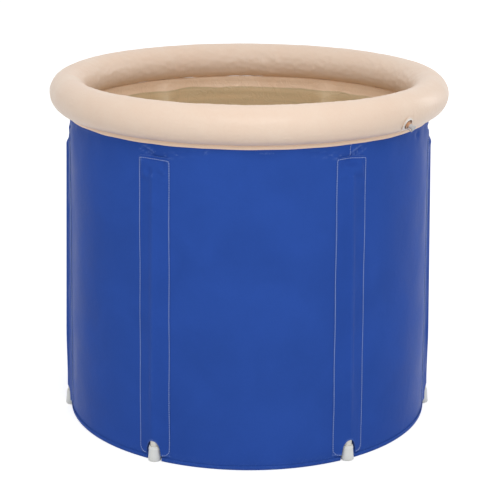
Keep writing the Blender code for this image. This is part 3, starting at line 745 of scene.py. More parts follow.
def inflated_ring_tree():
    """Geometry Nodes: a tube along a circle, with creases across its inner side and faint dents."""
    tree, given = new_growth(
        "inflated_ring",
        Float=[
            "Ring Radius",
            "Tube Radius",
            "Centre Height",
            "Crease Height",
            "Dent Height",
            "Creases per Metre",
            "Valve Clearance",
        ],
        Vector=["Valve Place"],
        Material=["Material"],
    )
    circle = "GeometryNodeCurvePrimitiveCircle"
    path = add_node(tree, circle, {"Resolution": 640, "Radius": given["Ring Radius"]}).outputs["Curve"]
    section = add_node(tree, circle, {"Resolution": 52, "Radius": given["Tube Radius"]}).outputs["Curve"]
    tube = add_node(tree, "GeometryNodeCurveToMesh", {"Curve": path, "Profile Curve": section})
    place = tree.nodes.new("GeometryNodeInputPosition").outputs[0]
    flat = reckon(tree, "MULTIPLY", place, (1, 1, 0))
    from_axis = reckon(tree, "LENGTH", flat)
    centre = reckon(tree, "SCALE", reckon(tree, "NORMALIZE", flat), Scale=given["Ring Radius"])
    normal = reckon(tree, "NORMALIZE", reckon(tree, "SUBTRACT", place, centre))
    rise = add_node(tree, "ShaderNodeSeparateXYZ", {0: normal}).outputs["Z"]
    reach = calculate(tree, "SUBTRACT", from_axis, given["Ring Radius"])
    side = calculate(tree, "DIVIDE", reach, given["Tube Radius"])
    around_tube = add_node(tree, "ShaderNodeCombineXYZ", {"Z": calculate(tree, "MULTIPLY", side, 0.011)})
    lookup = reckon(tree, "ADD", reckon(tree, "MULTIPLY", centre, (1, 1, 0)), around_tube.outputs[0])
    turn = calculate(tree, "MULTIPLY", rise, 0.7)
    creases = add_node(
        tree,
        "ShaderNodeTexNoise",
        {"Vector": lookup, "W": turn, "Scale": given["Creases per Metre"], "Detail": 1.5},
        noise_dimensions="4D",
    ).outputs["Fac"]
    dents = noise(tree, place, 17.0, 1.0)
    patches = noise(tree, centre, 7.0, 1.0)
    ridge = calculate(tree, "ABSOLUTE", calculate(tree, "SUBTRACT", creases, 0.5))
    ridge = spread(tree, ridge, 0.0, 0.16, -1.0, 0.35)
    inner = spread(tree, side, -0.95, 0.30, 1.0, 0.0)
    outer = spread(tree, patches, 0.50, 0.66, 0.04, 0.38)
    loose = calculate(tree, "MAXIMUM", inner, outer)
    to_valve = reckon(tree, "DISTANCE", place, given["Valve Place"])
    far = calculate(tree, "MULTIPLY", given["Valve Clearance"], 2.2)
    clear = spread(tree, to_valve, given["Valve Clearance"], far, 0.0, 1.0)
    fold = calculate(tree, "MULTIPLY", ridge, calculate(tree, "MULTIPLY", loose, given["Crease Height"]))
    dent = calculate(tree, "MULTIPLY", calculate(tree, "SUBTRACT", dents, 0.5), given["Dent Height"])
    push = calculate(tree, "MULTIPLY", calculate(tree, "ADD", fold, dent), clear)
    offset = reckon(tree, "SCALE", normal, Scale=push)
    slack = {"Geometry": tube.outputs["Mesh"], "Offset": offset}
    slack = add_node(tree, "GeometryNodeSetPosition", slack).outputs[0]
    lift = add_node(tree, "ShaderNodeCombineXYZ", {"Z": given["Centre Height"]}).outputs[0]
    raised = add_node(tree, "GeometryNodeTransform", {"Geometry": slack, "Translation": lift})
    return finish_growth(tree, raised.outputs[0], given["Material"])


def grown(name, tree, sizes, start=None):
    """The plain mesh that a Geometry Nodes tree makes. sizes gives the tree's inputs by name."""
    obj = add_object(name, start or bpy.data.meshes.new(name))
    nodes = obj.modifiers.new(name, "NODES")
    nodes.node_group = tree
    for socket in tree.interface.items_tree:
        if socket.in_out == "INPUT" and socket.name in sizes:
            nodes[socket.identifier] = sizes[socket.name]
    return made_plain(obj)


def thickened(mesh, thickness):
    """A sheet's mesh with a thickness, inwards from its face."""
    obj = add_object("sheet", mesh)
    film = obj.modifiers.new("Film", "SOLIDIFY")
    film.thickness = thickness
    film.offset = -1
    return made_plain(obj)


def opened(mesh, centre, outward, radius):
    """A film's mesh with a round opening, whose edge points are moved onto the circle."""
    shape = bmesh.new()
    shape.from_mesh(mesh)
    bmesh.ops.recalc_face_normals(shape, faces=shape.faces)

    def arm(point):
        gap = point - centre
        return gap - outward * gap.dot(outward)

    near = [vertex for vertex in shape.verts if (vertex.co - centre).length < 2 * radius]
    gone = [vertex for vertex in near if arm(vertex.co).length < radius]
    bmesh.ops.delete(shape, geom=gone, context="VERTS")
    for vertex in {v for edge in shape.edges if edge.is_boundary for v in edge.verts}:
        out = arm(vertex.co)
        vertex.co += out.normalized() * (radius - out.length)
    shape.to_mesh(mesh)
    shape.free()
    return mesh


peach_film = new_material(
    "peach_film",
    soft_film,
    {
        "Color": peach_colour,
        "Deep Color": peach_deep_colour,
        "Roughness": 0.38,
        "Crease Height": 0.0004,
        # Painted warm glow on the ring's underside and on the skirt.
        "Underside Glow Height": 0.5925,
    },
    {
        "Specular IOR Level": 0.25,
        "Coat Weight": 0.05,
        "Coat Roughness": 0.20,
    },
)
ring_mesh = grown(
    "inflated_rim",
    inflated_ring_tree(),
    {
        "Ring Radius": ring_centre_radius,
        "Tube Radius": ring_tube_radius,
        "Centre Height": ring_centre_height,
        "Crease Height": 0.0010,
        "Dent Height": 0.0018,
        "Creases per Metre": 42.0,
        "Valve Place": (valve_point - ring_lift)[:],
        "Valve Clearance": 0.016,
        "Material": peach_film,
    },
)
ring_mesh = opened(ring_mesh, valve_point, valve_outward, valve_hole_radius)
ring_mesh = thickened(ring_mesh, ring_film_thickness)
inflated_rim = add_piece("inflated_rim", ring_mesh, peach_film, "tub", "peach_film", "ring_tube")


def skirt_outer(angle, height):
    """The skirt's outer face: it hugs the skin, rounded like a weld."""
    rise = (height - skirt_low) / (wall_height - skirt_low)
    swell = 0.0006 * np.sqrt(np.clip(4 * rise * (1 - rise), 0, 1))
    return drawn_radius(-seat_gap)(angle, height) + skirt_thickness + swell


skirt_mesh = wall_shell(
    "rim_skirt",
    column_step,
    outside_rows=9,
    inside_rows=4,
    low=skirt_low,
    high=wall_height,
    outer=skirt_outer,
    inner=drawn_radius(-seat_gap),
)
# The skirt's lower edge waves slightly.
for vertex in skirt_mesh.vertices:
    share = (math.degrees(math.atan2(vertex.co.x, -vertex.co.y)) % 360) / 360
    low_down = 1 - (vertex.co.z - skirt_low) / (wall_height - skirt_low)
    vertex.co.z += 0.0011 * low_down * float(soft_noise(share, 0.5, (96, 1), 41))
rim_skirt = add_piece("rim_skirt", skirt_mesh, peach_film, "tub", "peach_film", "ring_skirt")

# The pole pockets are six strips of the same blue sheet, sewn to the skin along both sides and the top.
# Each runs flat from its seams up over the round of its pole, and its hem arches over the foot cap, where
# the pole goes in.
pole_radius = 0.0080
pocket_thickness = 0.0005
pocket_gap = 0.0001
pocket_half_width = 0.0320
pocket_top = 0.5625
pocket_round = 0.0085
sleeve_ease = 0.0030
pole_ridge = 0.0026
hem_height = 0.0120
arch_half_width = 0.0150
arch_rise = 0.0280
pocket_seeds = dict(zip(pole_angles, range(100, 160, 10)))


def axis_ends(name):
    """The middles of a turned node's two ends."""
    node = bpy.data.objects[name]
    points = np.array([node.matrix_world @ vertex.co for vertex in node.data.vertices])
    upper = points[:, 2] > points[:, 2].mean()
    return points[~upper].mean(axis=0), points[upper].mean(axis=0)


def pole_axis_radius(height):
    """The distance of every pole's axis from the tub's."""
    foot, top = axis_ends("pole_front_left")
    share = (height - foot[2]) / (top[2] - foot[2])
    return math.hypot(*foot[:2]) + share * (math.hypot(*top[:2]) - math.hypot(*foot[:2]))


def pocket_hem(offset):
    """The height of a pocket's lower edge."""
    share = np.clip(np.abs(offset) / arch_half_width, 0, 1)
    return hem_height + arch_rise * np.sqrt(1 - share**2)


def pocket_rise(angle, offset, height, seed):
    """How far a pocket stands out from the skin: two flat sides, the pole's round, and a closed top."""
    side_width = base_radius * math.radians(fold_angle)
    sleeve_round = pocket_round + sleeve_ease * height / pole_top_height
    axis = pole_axis_radius(height) - wall_radius(height) - seat_gap
    edge = -(side_width**2) / (2 * base_radius)
    gap = axis - edge
    climb = np.arctan2(gap, side_width) + np.arcsin(sleeve_round / np.hypot(gap, side_width))
    reach = np.abs(offset)
    side = edge + np.tan(climb) * (side_width - reach)
    top = axis + np.sqrt(np.clip(sleeve_round**2 - offset**2, 0, None))
    flat = np.where(reach < sleeve_round * np.sin(climb), top, side) + offset**2 / (2 * base_radius)
    flat = np.where(reach < side_width, flat, 0)
    ridge = pole_ridge * np.exp(-((reach / 0.0065) ** 2)) * fade(height, 0.050, 0.160)
    lift = np.maximum(flat, 0) + ridge + draw_in(angle + np.degrees(offset / base_radius), height)
    across = (offset / pocket_half_width + 1) / 2
    along = height / pocket_top
    slack = band(reach, 0.004, 0.009, 0.022, 0.029)
    ripples = 0.0012 * soft_noise(across, along, (5, 17), seed)
    ripples = ripples + 0.0005 * soft_noise(across, along, (9, 60), seed + 1)
    closing = fade(height, pole_top_height - 0.002, pocket_top - 0.001)
    lift = lift * (1 - closing)
    crumple = band(height, 0.514, 0.536, 0.553, pocket_top)
    inside_seams = 1 - fade(reach, 0.026, 0.031)
    above_pole = fade(height, 0.532, 0.538)
    folds = 0.0080 * soft_noise(across, along, (6, 62), seed + 2) + 0.0012
    folds = np.where(folds > 0, folds, 0.35 * folds * above_pole * (1 - closing))
    puff = 0.0012 * (1 - fade(reach, 0.022, 0.031)) * fade(height, 0.530, 0.548)
    return np.maximum(lift + slack * ripples + crumple * inside_seams * folds + puff, 0)


def pocket_points(angle, seed, rise=0.0):
    """Rows of points over a pocket's inner face, from the hem to the top."""
    inner = arch_half_width * np.sin(np.linspace(-math.pi / 2, math.pi / 2, 37))
    outer = np.linspace(arch_half_width, pocket_half_width, 11)[1:]
    offset = np.concatenate((-outer[::-1], inner, outer))
    share = np.concatenate((np.linspace(0, 0.90, 100), np.linspace(0.90, 1, 46)[1:]))
    offset, share = np.meshgrid(offset, share)
    wander = 0.0012 * soft_noise((offset / pocket_half_width + 1) / 2, 0.5 * share, (4, 2), seed + 3)
    corner = 0.0035 * fade(np.abs(offset), 0.027, pocket_half_width) ** 2
    top = pocket_top + wander - corner
    height = pocket_hem(offset) * (1 - share) + top * share
    turn = angle + np.degrees(offset / base_radius)
    radius = skin_radius(turn, height) + pocket_gap + pocket_rise(angle, offset, height, seed) + rise
    return around(turn, radius, height)


blue_pocket = new_material(
    "blue_pocket_sheet",
    coated_weave,
    {"Color": (0.027, 0.082, 0.376, 1), "Roughness": 0.40, "Ripple Height": 0.0006},
    blue_shine,
)
for place, angle in pole_angles.items():
    name = "sleeve_" + place
    sheet_points = pocket_points(angle, pocket_seeds[place], pocket_thickness)
    sheet_mesh = thickened(loft(name, sheet_points, closed_round=False), pocket_thickness)
    # The pocket's sharp crests are marked for their painted glint.
    mark_crest_glints(sheet_mesh, low=0.00006, high=0.00022)
    add_piece(name, sheet_mesh, blue_pocket, "tub", "blue_pocket", "pocket_" + place)

# Each pocket is sewn on with one row of pale lockstitch, a few millimetres from its edge, up one side,
# across the top and down the other. One more seam joins the skin's sheet above the right front pocket.
stitch_length = 0.0042
stitch_radius = 0.00065
seam_offset = 0.0304
seam_inset = 0.0025
seam_hook = 0.0115
join_low = 0.5620
join_high = 0.5838
join_angle = 29.9
top_seam_dips = {-30: (0.0015, 0.0027, -0.75, -0.15), 30: (0.0003, 0.0020, -1.0, 1.0)}


def stitches_tree():
    """Geometry Nodes: a long grain of thread at even steps along a line, turned to follow it."""
    tree, given = new_growth(
        "stitches",
        Geometry=["Line"],
        Float=["Stitch Length", "Thread Radius"],
        Material=["Material"],
    )
    line = add_node(tree, "GeometryNodeMeshToCurve", {"Mesh": given["Line"]})
    even = {"Curve": line.outputs[0], "Length": given["Stitch Length"]}
    even = add_node(tree, "GeometryNodeResampleCurve", even, mode="LENGTH")
    tangent = tree.nodes.new("GeometryNodeInputTangent").outputs[0]
    turn = add_node(tree, "FunctionNodeAlignRotationToVector", {"Vector": tangent}, axis="Z").outputs[0]
    half = calculate(tree, "MULTIPLY", given["Stitch Length"], 0.44)
    grain = add_node(tree, "GeometryNodeMeshUVSphere", {"Segments": 6, "Rings": 4, "Radius": 1.0})
    size = {"X": given["Thread Radius"], "Y": given["Thread Radius"], "Z": half}
    size = add_node(tree, "ShaderNodeCombineXYZ", size).outputs[0]
    thread = add_node(tree, "GeometryNodeTransform", {"Geometry": grain.outputs["Mesh"], "Scale": size})
    row = {"Points": even.outputs[0], "Instance": thread.outputs[0], "Rotation": turn}
    row = add_node(tree, "GeometryNodeInstanceOnPoints", row)
    return finish_growth(tree, row.outputs[0], given["Material"])


def thread_group():
    """Twisted polyester thread: a faint spiral of plies along each stitch, with painted shade in the grooves
    between plies.
    """
    tree, given, place = new_group(
        "sewing_thread",
        {"Color": (0.34, 0.45, 0.76, 1), "Ply Pitch": 0.0006},
    )
    axes = add_node(tree, "ShaderNodeSeparateXYZ", {0: place["Object"]}).outputs
    slant = calculate(tree, "ADD", calculate(tree, "ADD", axes["X"], axes["Y"]), axes["Z"])
    turns = calculate(tree, "DIVIDE", 2 * math.pi, given["Ply Pitch"])
    plies = calculate(tree, "SINE", calculate(tree, "MULTIPLY", slant, turns))
    # Painted shade: the thread darkens in the grooves between its plies.
    groove_shade = spread(tree, plies, -1.0, 1.0, 0.22, 0.0)
    colour = blend_colours(tree, groove_shade, given["Color"], (0.20, 0.24, 0.40, 1))
    gloss = spread(tree, plies, -1.0, 1.0, 0.62, 0.50)
    return finish_group(tree, colour, gloss, calculate(tree, "MULTIPLY", plies, 0.00004))


def sewn_line(name, points):
    """The stitches along a line of points on the sheet."""
    line = bpy.data.meshes.new(name)
    line.from_pydata(points.tolist(), [(i, i + 1) for i in range(len(points) - 1)], [])
    sizes = {"Stitch Length": stitch_length, "Thread Radius": stitch_radius, "Material": pale_thread}
    return grown(name, stitches, sizes, line)


def seam_route(angle, seed):
    """The seam's points: up from the hem on the left, across the top, and down on the right."""
    middle = np.linspace(-1, 1, 40)
    share = np.append(np.linspace(0, 0.022, 20)[:-1], np.linspace(0.022, 1, 150))
    side = np.full(len(share), seam_offset)
    left, right, start, end = top_seam_dips.get(angle, (0.0010, 0.0015, -0.5, 0.5))
    ends = np.array((left, right)) + seam_inset
    across = pocket_top - seam_inset - 0.0020 * np.abs(middle) ** 24
    across = across - left * (1 - fade(middle, start, end)) - right * fade(middle, start, end)
    low, high = hem_height + 0.001, pocket_top - 0.0020 - ends
    height = np.concatenate((low + (high[0] - low) * share, across, low + (high[1] - low) * share[::-1]))
    bend = np.clip(1 - (height - low) / seam_hook, 0, 1)
    offset = np.concatenate((-side, seam_offset * middle, side))
    offset = offset * (1 - seam_hook * (1 - np.sqrt(1 - bend**2)) / seam_offset)
    offset = offset + 0.0004 * np.sin(height * 41 + seed)
    turn = angle + np.degrees(offset / base_radius)
    rise = pocket_rise(angle, offset, height, seed) + pocket_thickness + pocket_gap + 0.4 * stitch_radius
    return around(turn, skin_radius(turn, height) + rise, height)


thread_shine = {"Specular IOR Level": 0.3, "Sheen Weight": 0.2}
pale_thread = new_material("pale_thread", thread_group(), sockets=thread_shine)
stitches = stitches_tree()
for place, angle in pole_angles.items():
    row_mesh = sewn_line("seam_" + place, seam_route(angle, pocket_seeds[place]))
    add_piece("seam_" + place, row_mesh, pale_thread, "tub", "blue_pocket")
rise = np.linspace(join_low, join_high, 12)
join_turn = join_angle + 0.2 * np.sin(rise * 160)
join_points = around(join_turn, skin_radius(join_turn, rise) + 0.4 * stitch_radius, rise)
add_piece("seam_skin", sewn_line("seam_skin", join_points), pale_thread, "tub", "blue_sheet")

# The poles are six rigid plastic tubes, slid up into the pockets from below. Each stands in a slightly
# flared white foot cap, and a white plug closes its upper end so that the tube's edge doesn't cut the
# pocket.
pole_wall = 0.0015
pole_low = 0.0043
plug_head_height = 0.0040
plug_stem_height = 0.0120
foot_floor = 0.0040
foot_height = 0.0280
foot_top_radius = 0.0100
foot_base_radius = 0.0120
foot_edge = 0.0010
bead_low = 0.0215
bead_height = 0.0020
bead_rise = 0.0004


def rounded(corners, reach):
    """An outline of radii and heights with its corners rounded off. A corner on the axis stays as it is."""
    points = np.array(corners, float)
    outline = []
    for before, corner, after in zip(np.roll(points, 1, axis=0), points, np.roll(points, -1, axis=0)):
        if corner[0] == 0:
            outline.append(corner)
            continue
        start, end = [
            corner + (other - corner) * min(0.45, reach / np.linalg.norm(other - corner))
            for other in (before, after)
        ]
        for share in (0, 0.3, 0.7, 1):
            outline.append((1 - share) ** 2 * start + 2 * share * (1 - share) * corner + share**2 * end)
    return np.array(outline)


def turned(name, outline, place, steps=48, relief=None):
    """A mesh turned round an outline. relief adds to the radius at an angle, radius and height."""
    angle = np.arange(steps)[None, :] * 360 / steps
    radius, height = outline[:, :1], outline[:, 1:]
    swell = relief(angle, radius, height) if relief else 0
    mesh = loft(name, around(angle, radius + swell, height), closed_along=outline[0, 0] > 0)
    shape = bmesh.new()
    shape.from_mesh(mesh)
    bmesh.ops.remove_doubles(shape, verts=shape.verts, dist=0.000001)
    bmesh.ops.recalc_face_normals(shape, faces=shape.faces)
    shape.to_mesh(mesh)
    shape.free()
    mesh.transform(place)
    return mesh


def add_turned(name, corners, reach, place, material, body, slot, replaced, steps=48, relief=None):
    """Puts in the scene a piece turned round an outline, with its corners rounded off."""
    mesh = turned(name, rounded(corners, reach), place, steps, relief)
    return add_piece(name, mesh, material, body, slot, replaced)


def pole_frame(place):
    """A pole's frame, with its foot's middle on the floor and Z up along it, and the pole's upper end."""
    low, high = (Vector(end) for end in axis_ends("pole_" + place))
    up = (high - low).normalized()
    turn = up.to_track_quat("Z", "Y").to_matrix().to_4x4()
    return Matrix.Translation(low - up * pole_low) @ turn, pole_low + (high - low).length


def moulded_plastic_group():
    """Moulded or extruded plastic: a fine grain, faint flow clouds, dirt and scratches near the floor."""
    tree, given, place = new_group(
        "moulded_plastic",
        {
            "Color": (0.7, 0.7, 0.7, 1),
            "Dirt Color": (0.34, 0.31, 0.26, 1),
            "Roughness": 0.40,
            "Dirt Height": 0.012,
            "Grain Height": 0.00002,
        },
    )
    rise = add_node(tree, "ShaderNodeSeparateXYZ", {0: place["Object"]}).outputs["Z"]
    clouds = noise(tree, place["Object"], 90.0, 2.0)
    grain = noise(tree, place["Object"], 1600.0, 2.0)
    scratches = noise(tree, place["Object"], 420.0, 4.0, 3.0)
    near_floor = calculate(tree, "DIVIDE", rise, given["Dirt Height"])
    near_floor = spread(tree, near_floor, 0.0, 1.0, 1.0, 0.0)
    dirt = calculate(tree, "MULTIPLY", near_floor, spread(tree, scratches, 0.42, 0.68, 0.0, 0.55))
    cloudy = spread(tree, clouds, 0.3, 0.7, 0.0, 0.05)
    colour = blend_colours(tree, cloudy, given["Color"], (0.5, 0.5, 0.5, 1))
    colour = blend_colours(tree, dirt, colour, given["Dirt Color"])
    gloss = calculate(tree, "ADD", given["Roughness"], spread(tree, clouds, 0.3, 0.7, -0.04, 0.06))
    gloss = calculate(tree, "MULTIPLY_ADD", dirt, 0.3, gloss)
    relief = calculate(tree, "MULTIPLY", grain, given["Grain Height"])
    return finish_group(tree, colour, gloss, relief)


moulded_plastic = moulded_plastic_group()
cream_finish = {"Color": (0.77, 0.75, 0.68, 1), "Roughness": 0.42}
cream_pole = new_material("cream_pole_plastic", moulded_plastic, cream_finish)
white_plug = new_material("white_plug_plastic", moulded_plastic, {"Color": (0.74, 0.75, 0.72, 1)})
white_cap = new_material("white_cap_plastic", moulded_plastic, {"Color": (0.80, 0.81, 0.78, 1)})
for place in pole_angles:
    foot_frame, top = pole_frame(place)
    body = place + "_pole"
    bore = pole_radius - pole_wall
    tube = [(pole_radius, top), (pole_radius, pole_low), (bore, pole_low), (bore, top)]
    add_turned("rod_" + place, tube, 0.0004, foot_frame, cream_pole, body, "pole_plastic", "pole_" + place)
    low = top + seat_gap
    high = low + plug_head_height
    stem = bore - seat_gap
    plug = [(0, high), (0.0060, high - 0.0003), (pole_radius, high - 0.0014), (pole_radius, low)]
    plug += [(stem, low), (stem, low - plug_stem_height), (0, low - plug_stem_height)]
    replaced = "pole_plug_" + place
    add_turned("rod_plug_" + place, plug, 0.0007, foot_frame, white_plug, body, "white_plastic", replaced)
    slope = (foot_base_radius - foot_top_radius) / (foot_height - foot_edge)
    bead = foot_base_radius - slope * (bead_low - foot_edge)
    socket = pole_radius + seat_gap
    cap = [(0, foot_floor), (socket, foot_floor), (socket, foot_height), (foot_top_radius, foot_height)]
    cap += [(bead, bead_low + bead_height), (bead + bead_rise, bead_low + bead_height)]
    cap += [(bead + bead_rise, bead_low), (bead, bead_low)]
    cap += [(foot_base_radius, foot_edge), (foot_base_radius - foot_edge, 0), (0, 0)]
    replaced = "foot_cap_" + place
    add_turned("foot_" + place, cap, 0.0006, foot_frame, white_cap, body, "white_plastic", replaced)

# The air valve is moulded in clear soft vinyl and welded into the ring's film: a cup under a flange, a
# stem that pushes in flat, and a stopper on a strap. A thin flap inside the stem keeps the air in while
# the ring is filled.
valve_cup_radius = 0.0100
valve_cup_depth = 0.0100
cup_bore = 0.0092
cup_floor = -0.0092
cup_hole = 0.0045
cup_lip = 0.0020
flange_reach = 0.0135
flange_high = 0.0015
stem_radius = 0.0040
stem_bore = 0.0027
stem_reach = 0.0126
stem_tail = -0.0140
collar_radius = 0.0060
collar_high = 0.0012
clip_radius = 0.0052
clip_high = -0.0103
clip_low = -0.0115
strap_half_width = 0.0015
strap_half_thickness = 0.0005
strap_reach = 0.0079


def frame_at(point, *axes):
    """The matrix of a frame that starts at a point, with its axes along three directions."""
    return Matrix.Translation(point) @ Matrix(axes).transposed().to_4x4()


def clear_vinyl_group():
    """Clear vinyl, smoky in faint patches, with a painted warm shade in the cup for the ring's shaded inside
    seen through it.
    """
    tree, given, place = new_group(
        "clear_vinyl_finish",
        {
            "Color": (0.80, 0.79, 0.76, 1),
            "Cup Shade Color": (0.62, 0.30, 0.13, 1),
            "Cup Middle": valve_point[:],
            "Cup Radius": 0.0,
            "Film Share": 0.0,
        },
    )
    away = reckon(tree, "DISTANCE", place["Object"], given["Cup Middle"])
    beyond = calculate(tree, "SUBTRACT", away, given["Cup Radius"])
    flow = noise(tree, place["Object"], 260.0, 3.0, 1.0)
    grain = noise(tree, place["Object"], 1500.0, 2.0)
    smoke = spread(tree, flow, 0.3, 0.7, 0.0, 0.12)
    body = blend_colours(tree, smoke, given["Color"], (0.55, 0.50, 0.44, 1))
    film = spread(tree, beyond, 0.0009, 0.0014, 0.0, 1.0)
    film = calculate(tree, "MULTIPLY", film, given["Film Share"])
    body = blend_colours(tree, film, body, peach_colour)
    # Painted shade: the cup, and anything near its middle, take a warm shade colour for the ring's shaded
    # inside seen through the clear vinyl.
    warm = spread(tree, beyond, -0.0008, 0.0002, 0.85, 0.0)
    colour = blend_colours(tree, warm, body, given["Cup Shade Color"])
    gloss = spread(tree, flow, 0.3, 0.7, 0.16, 0.28)
    relief = calculate(tree, "MULTIPLY_ADD", grain, 0.00001, calculate(tree, "MULTIPLY", flow, 0.00008))
    return finish_group(tree, colour, gloss, relief)


def add_strap(name, route, body):
    """Puts in the scene a flat strap with rounded sides, along a route in the valve's Y and Z."""
    route = np.array(route, float)
    run = np.gradient(route, axis=0)
    normal = np.stack((-run[:, 1], run[:, 0]), axis=-1) / np.linalg.norm(run, axis=1)[:, None]
    turn = np.linspace(0, 2 * math.pi, 16, endpoint=False)
    side = strap_half_width * np.sign(np.cos(turn)) * np.abs(np.cos(turn)) ** 0.4
    rise = strap_half_thickness * np.sin(turn)
    middle = route[:, None, :] + normal[:, None, :] * rise[None, :, None]
    side = np.broadcast_to(side[None, :, None], middle.shape[:2] + (1,))
    mesh = close_middle(loft(name, np.concatenate((side, middle), axis=-1)))
    mesh.transform(valve_frame)
    return add_piece(name, mesh, stem_vinyl, body, "clear_vinyl")


valve_frame = frame_at(valve_point, valve_along, valve_across, valve_outward)
clear_vinyl = clear_vinyl_group()
cup_finish = {"Cup Radius": 0.0098, "Film Share": 0.9}
cup_vinyl = new_material("clear_cup_vinyl", clear_vinyl, cup_finish, {"IOR": 1.5})
# The stem's collar near the cup's middle takes the cup's painted warm shade.
stem_finish = {"Color": (0.50, 0.49, 0.49, 1), "Cup Radius": 0.0074}
stem_vinyl = new_material("clear_stem_vinyl", clear_vinyl, stem_finish, {"IOR": 1.5})
cup = [(valve_cup_radius, cup_lip), (valve_cup_radius, flange_high), (flange_reach, flange_high)]
cup += [(flange_reach, seat_gap), (valve_cup_radius, seat_gap), (valve_cup_radius, -valve_cup_depth)]
cup += [(cup_hole, -valve_cup_depth), (cup_hole, cup_floor), (cup_bore, cup_floor), (cup_bore, cup_lip)]
cup_mesh = turned("air_cup", rounded(cup, 0.0003), Matrix.Identity(4), 72)
for vertex in cup_mesh.vertices:
    x, y, z = vertex.co
    if 0 < z < 0.0016 and math.hypot(x, y) > 0.0098:
        drop = y * y / (2 * ring_tube_radius) + x * x / (2 * (ring_centre_radius + ring_tube_radius))
        vertex.co.z -= drop
cup_mesh.transform(valve_frame)
add_piece("air_cup", cup_mesh, cup_vinyl, "tub", "clear_vinyl", "valve_base")
tube = [(stem_radius, stem_reach), (stem_radius, collar_high), (collar_radius, collar_high)]
tube += [(collar_radius, 0), (stem_radius, 0), (stem_radius, clip_high), (clip_radius, clip_high)]
tube += [(clip_radius, clip_low), (stem_radius, clip_low)]
tube += [(stem_radius, stem_tail), (stem_bore, stem_tail), (stem_bore, stem_reach)]
add_turned("air_stem", tube, 0.0003, valve_frame, stem_vinyl, "stem", "clear_vinyl", "valve_stem")
route = [(-0.0050, 0.0006), (-0.0066, 0.0006), (-0.0076, 0.0009)]
route += [(-strap_reach, height) for height in (0.0020, 0.0070, 0.0123)]
add_strap("air_strap", route, "stem")
plug = [(0, 0.0155), (0.0036, 0.0154), (0.0052, 0.0147), (0.0052, 0.0129)]
plug += [(0.0023, 0.0129), (0.0019, 0.0103), (0, 0.0103)]
add_turned("air_stopper", plug, 0.0004, valve_frame, stem_vinyl, "stopper", "clear_vinyl", "valve_stopper")
route = [(-strap_reach, 0.0134), (-0.0070, 0.0135), (-0.0056, 0.0135), (-0.0040, 0.0135)]
add_strap("stopper_strap", route, "stopper")
flap = [(0, -0.0143), (0.0034, -0.0143), (0.0034, -0.0149), (0, -0.0149)]
black_rubber = new_material(
    "black_rubber",
    moulded_plastic,
    {"Color": (0.028, 0.028, 0.030, 1), "Dirt Color": (0.10, 0.09, 0.08, 1), "Roughness": 0.62},
)
add_turned("air_flap", flap, 0.0002, valve_frame, black_rubber, "flap", "black_rubber", "valve_flap")

# The drain sits low at the back. A white threaded body goes through the wall from outside, and a nut
# inside clamps the wall against a rubber gasket. A screw cap with a seal closes the spout, and a plug
# closes the bore from inside.
spout_radius = 0.0135
spout_end = 0.0160
flange_top = 0.0046
flange_low = 0.0021
flange_radius = 0.0200
drain_body_radius = 0.0125
drain_body_end = -0.0162
drain_bore = 0.0100
thread_pitch = 0.0032
nut_half_width = 0.0165
nut_top = -0.0092
nut_low = -0.0142
nut_bore = 0.0128
cap_radius = 0.0175
cap_low = 0.0060
cap_bore = 0.0140
cap_ceiling = 0.0181
grip_ribs = 30
drain_along = Vector((-1, 0, 0))
drain_up = drain_outward.cross(drain_along)
drain_frame = frame_at(drain_point, drain_along, drain_up, drain_outward)


def thread_relief(angle, radius, height):
    """The spout's rounded thread, one turn per pitch."""
    turns = height / thread_pitch - angle / 360
    inside = band(height, 0.0058, 0.0070, 0.0140, 0.0152)
    thread = 0.0004 * inside * np.clip(np.cos(2 * math.pi * turns), 0, 1)
    return np.where(radius > spout_radius - 0.00001, thread, 0)


def nut_relief(angle, radius, height):
    """Six flats, with the corners turned down towards both faces."""
    flats = nut_half_width / np.cos(np.radians((angle + 30) % 60 - 30))
    turned_down = nut_half_width + 0.0002 + 1.6 * np.minimum(height - nut_low, nut_top - height)
    return np.where(radius > nut_half_width - 0.0010, np.minimum(flats, turned_down) - radius, 0)


def grip_relief(angle, radius, height):
    """Shallow grooves down the cap's side, for the fingers."""
    grooves = 0.5 - 0.5 * np.cos(np.radians(angle) * grip_ribs)
    held = band(height, 0.0068, 0.0082, 0.0182, 0.0196)
    return np.where(radius > 0.0170, -0.0006 * grooves * held, 0)


white_drain = new_material("white_drain_plastic", moulded_plastic, {"Color": (0.72, 0.73, 0.70, 1)})
spout = [(spout_radius, height) for height in (spout_end, *np.linspace(0.0152, 0.0056, 33), flange_top)]
spout += [(flange_radius, flange_top), (flange_radius, flange_low), (drain_body_radius, flange_low)]
spout += [(drain_body_radius, drain_body_end), (drain_bore, drain_body_end), (drain_bore, spout_end)]
add_turned(
    "drain_spout",
    spout,
    0.0004,
    drain_frame,
    white_drain,
    "tub",
    "white_plastic",
    "drain_body",
    steps=72,
    relief=thread_relief,
)
nut = [(nut_half_width, height) for height in np.linspace(nut_top, nut_low, 9)]
nut += [(nut_bore, nut_low), (nut_bore, nut_top)]
nut_mesh = turned("drain_lock_nut", np.array(nut), drain_frame, 96, nut_relief)
add_piece("drain_lock_nut", nut_mesh, white_drain, "tub", "white_plastic", "drain_nut")
seal = [(0, 0.0178), (0.0132, 0.0178), (0.0132, 0.0163), (0, 0.0163)]
add_turned(
    "drain_seal_disc", seal, 0.0003, drain_frame, black_rubber, "cap_seal", "black_rubber", "drain_cap_seal"
)
cap = [(0, 0.0199), (0.0110, 0.0199), (0.0125, 0.0201), (0.0163, 0.0201), (cap_radius, 0.0191)]
cap += [(cap_radius, height) for height in (*np.linspace(0.0180, 0.0070, 12), cap_low)]
cap += [(cap_bore, cap_low), (cap_bore, cap_ceiling), (0, cap_ceiling)]
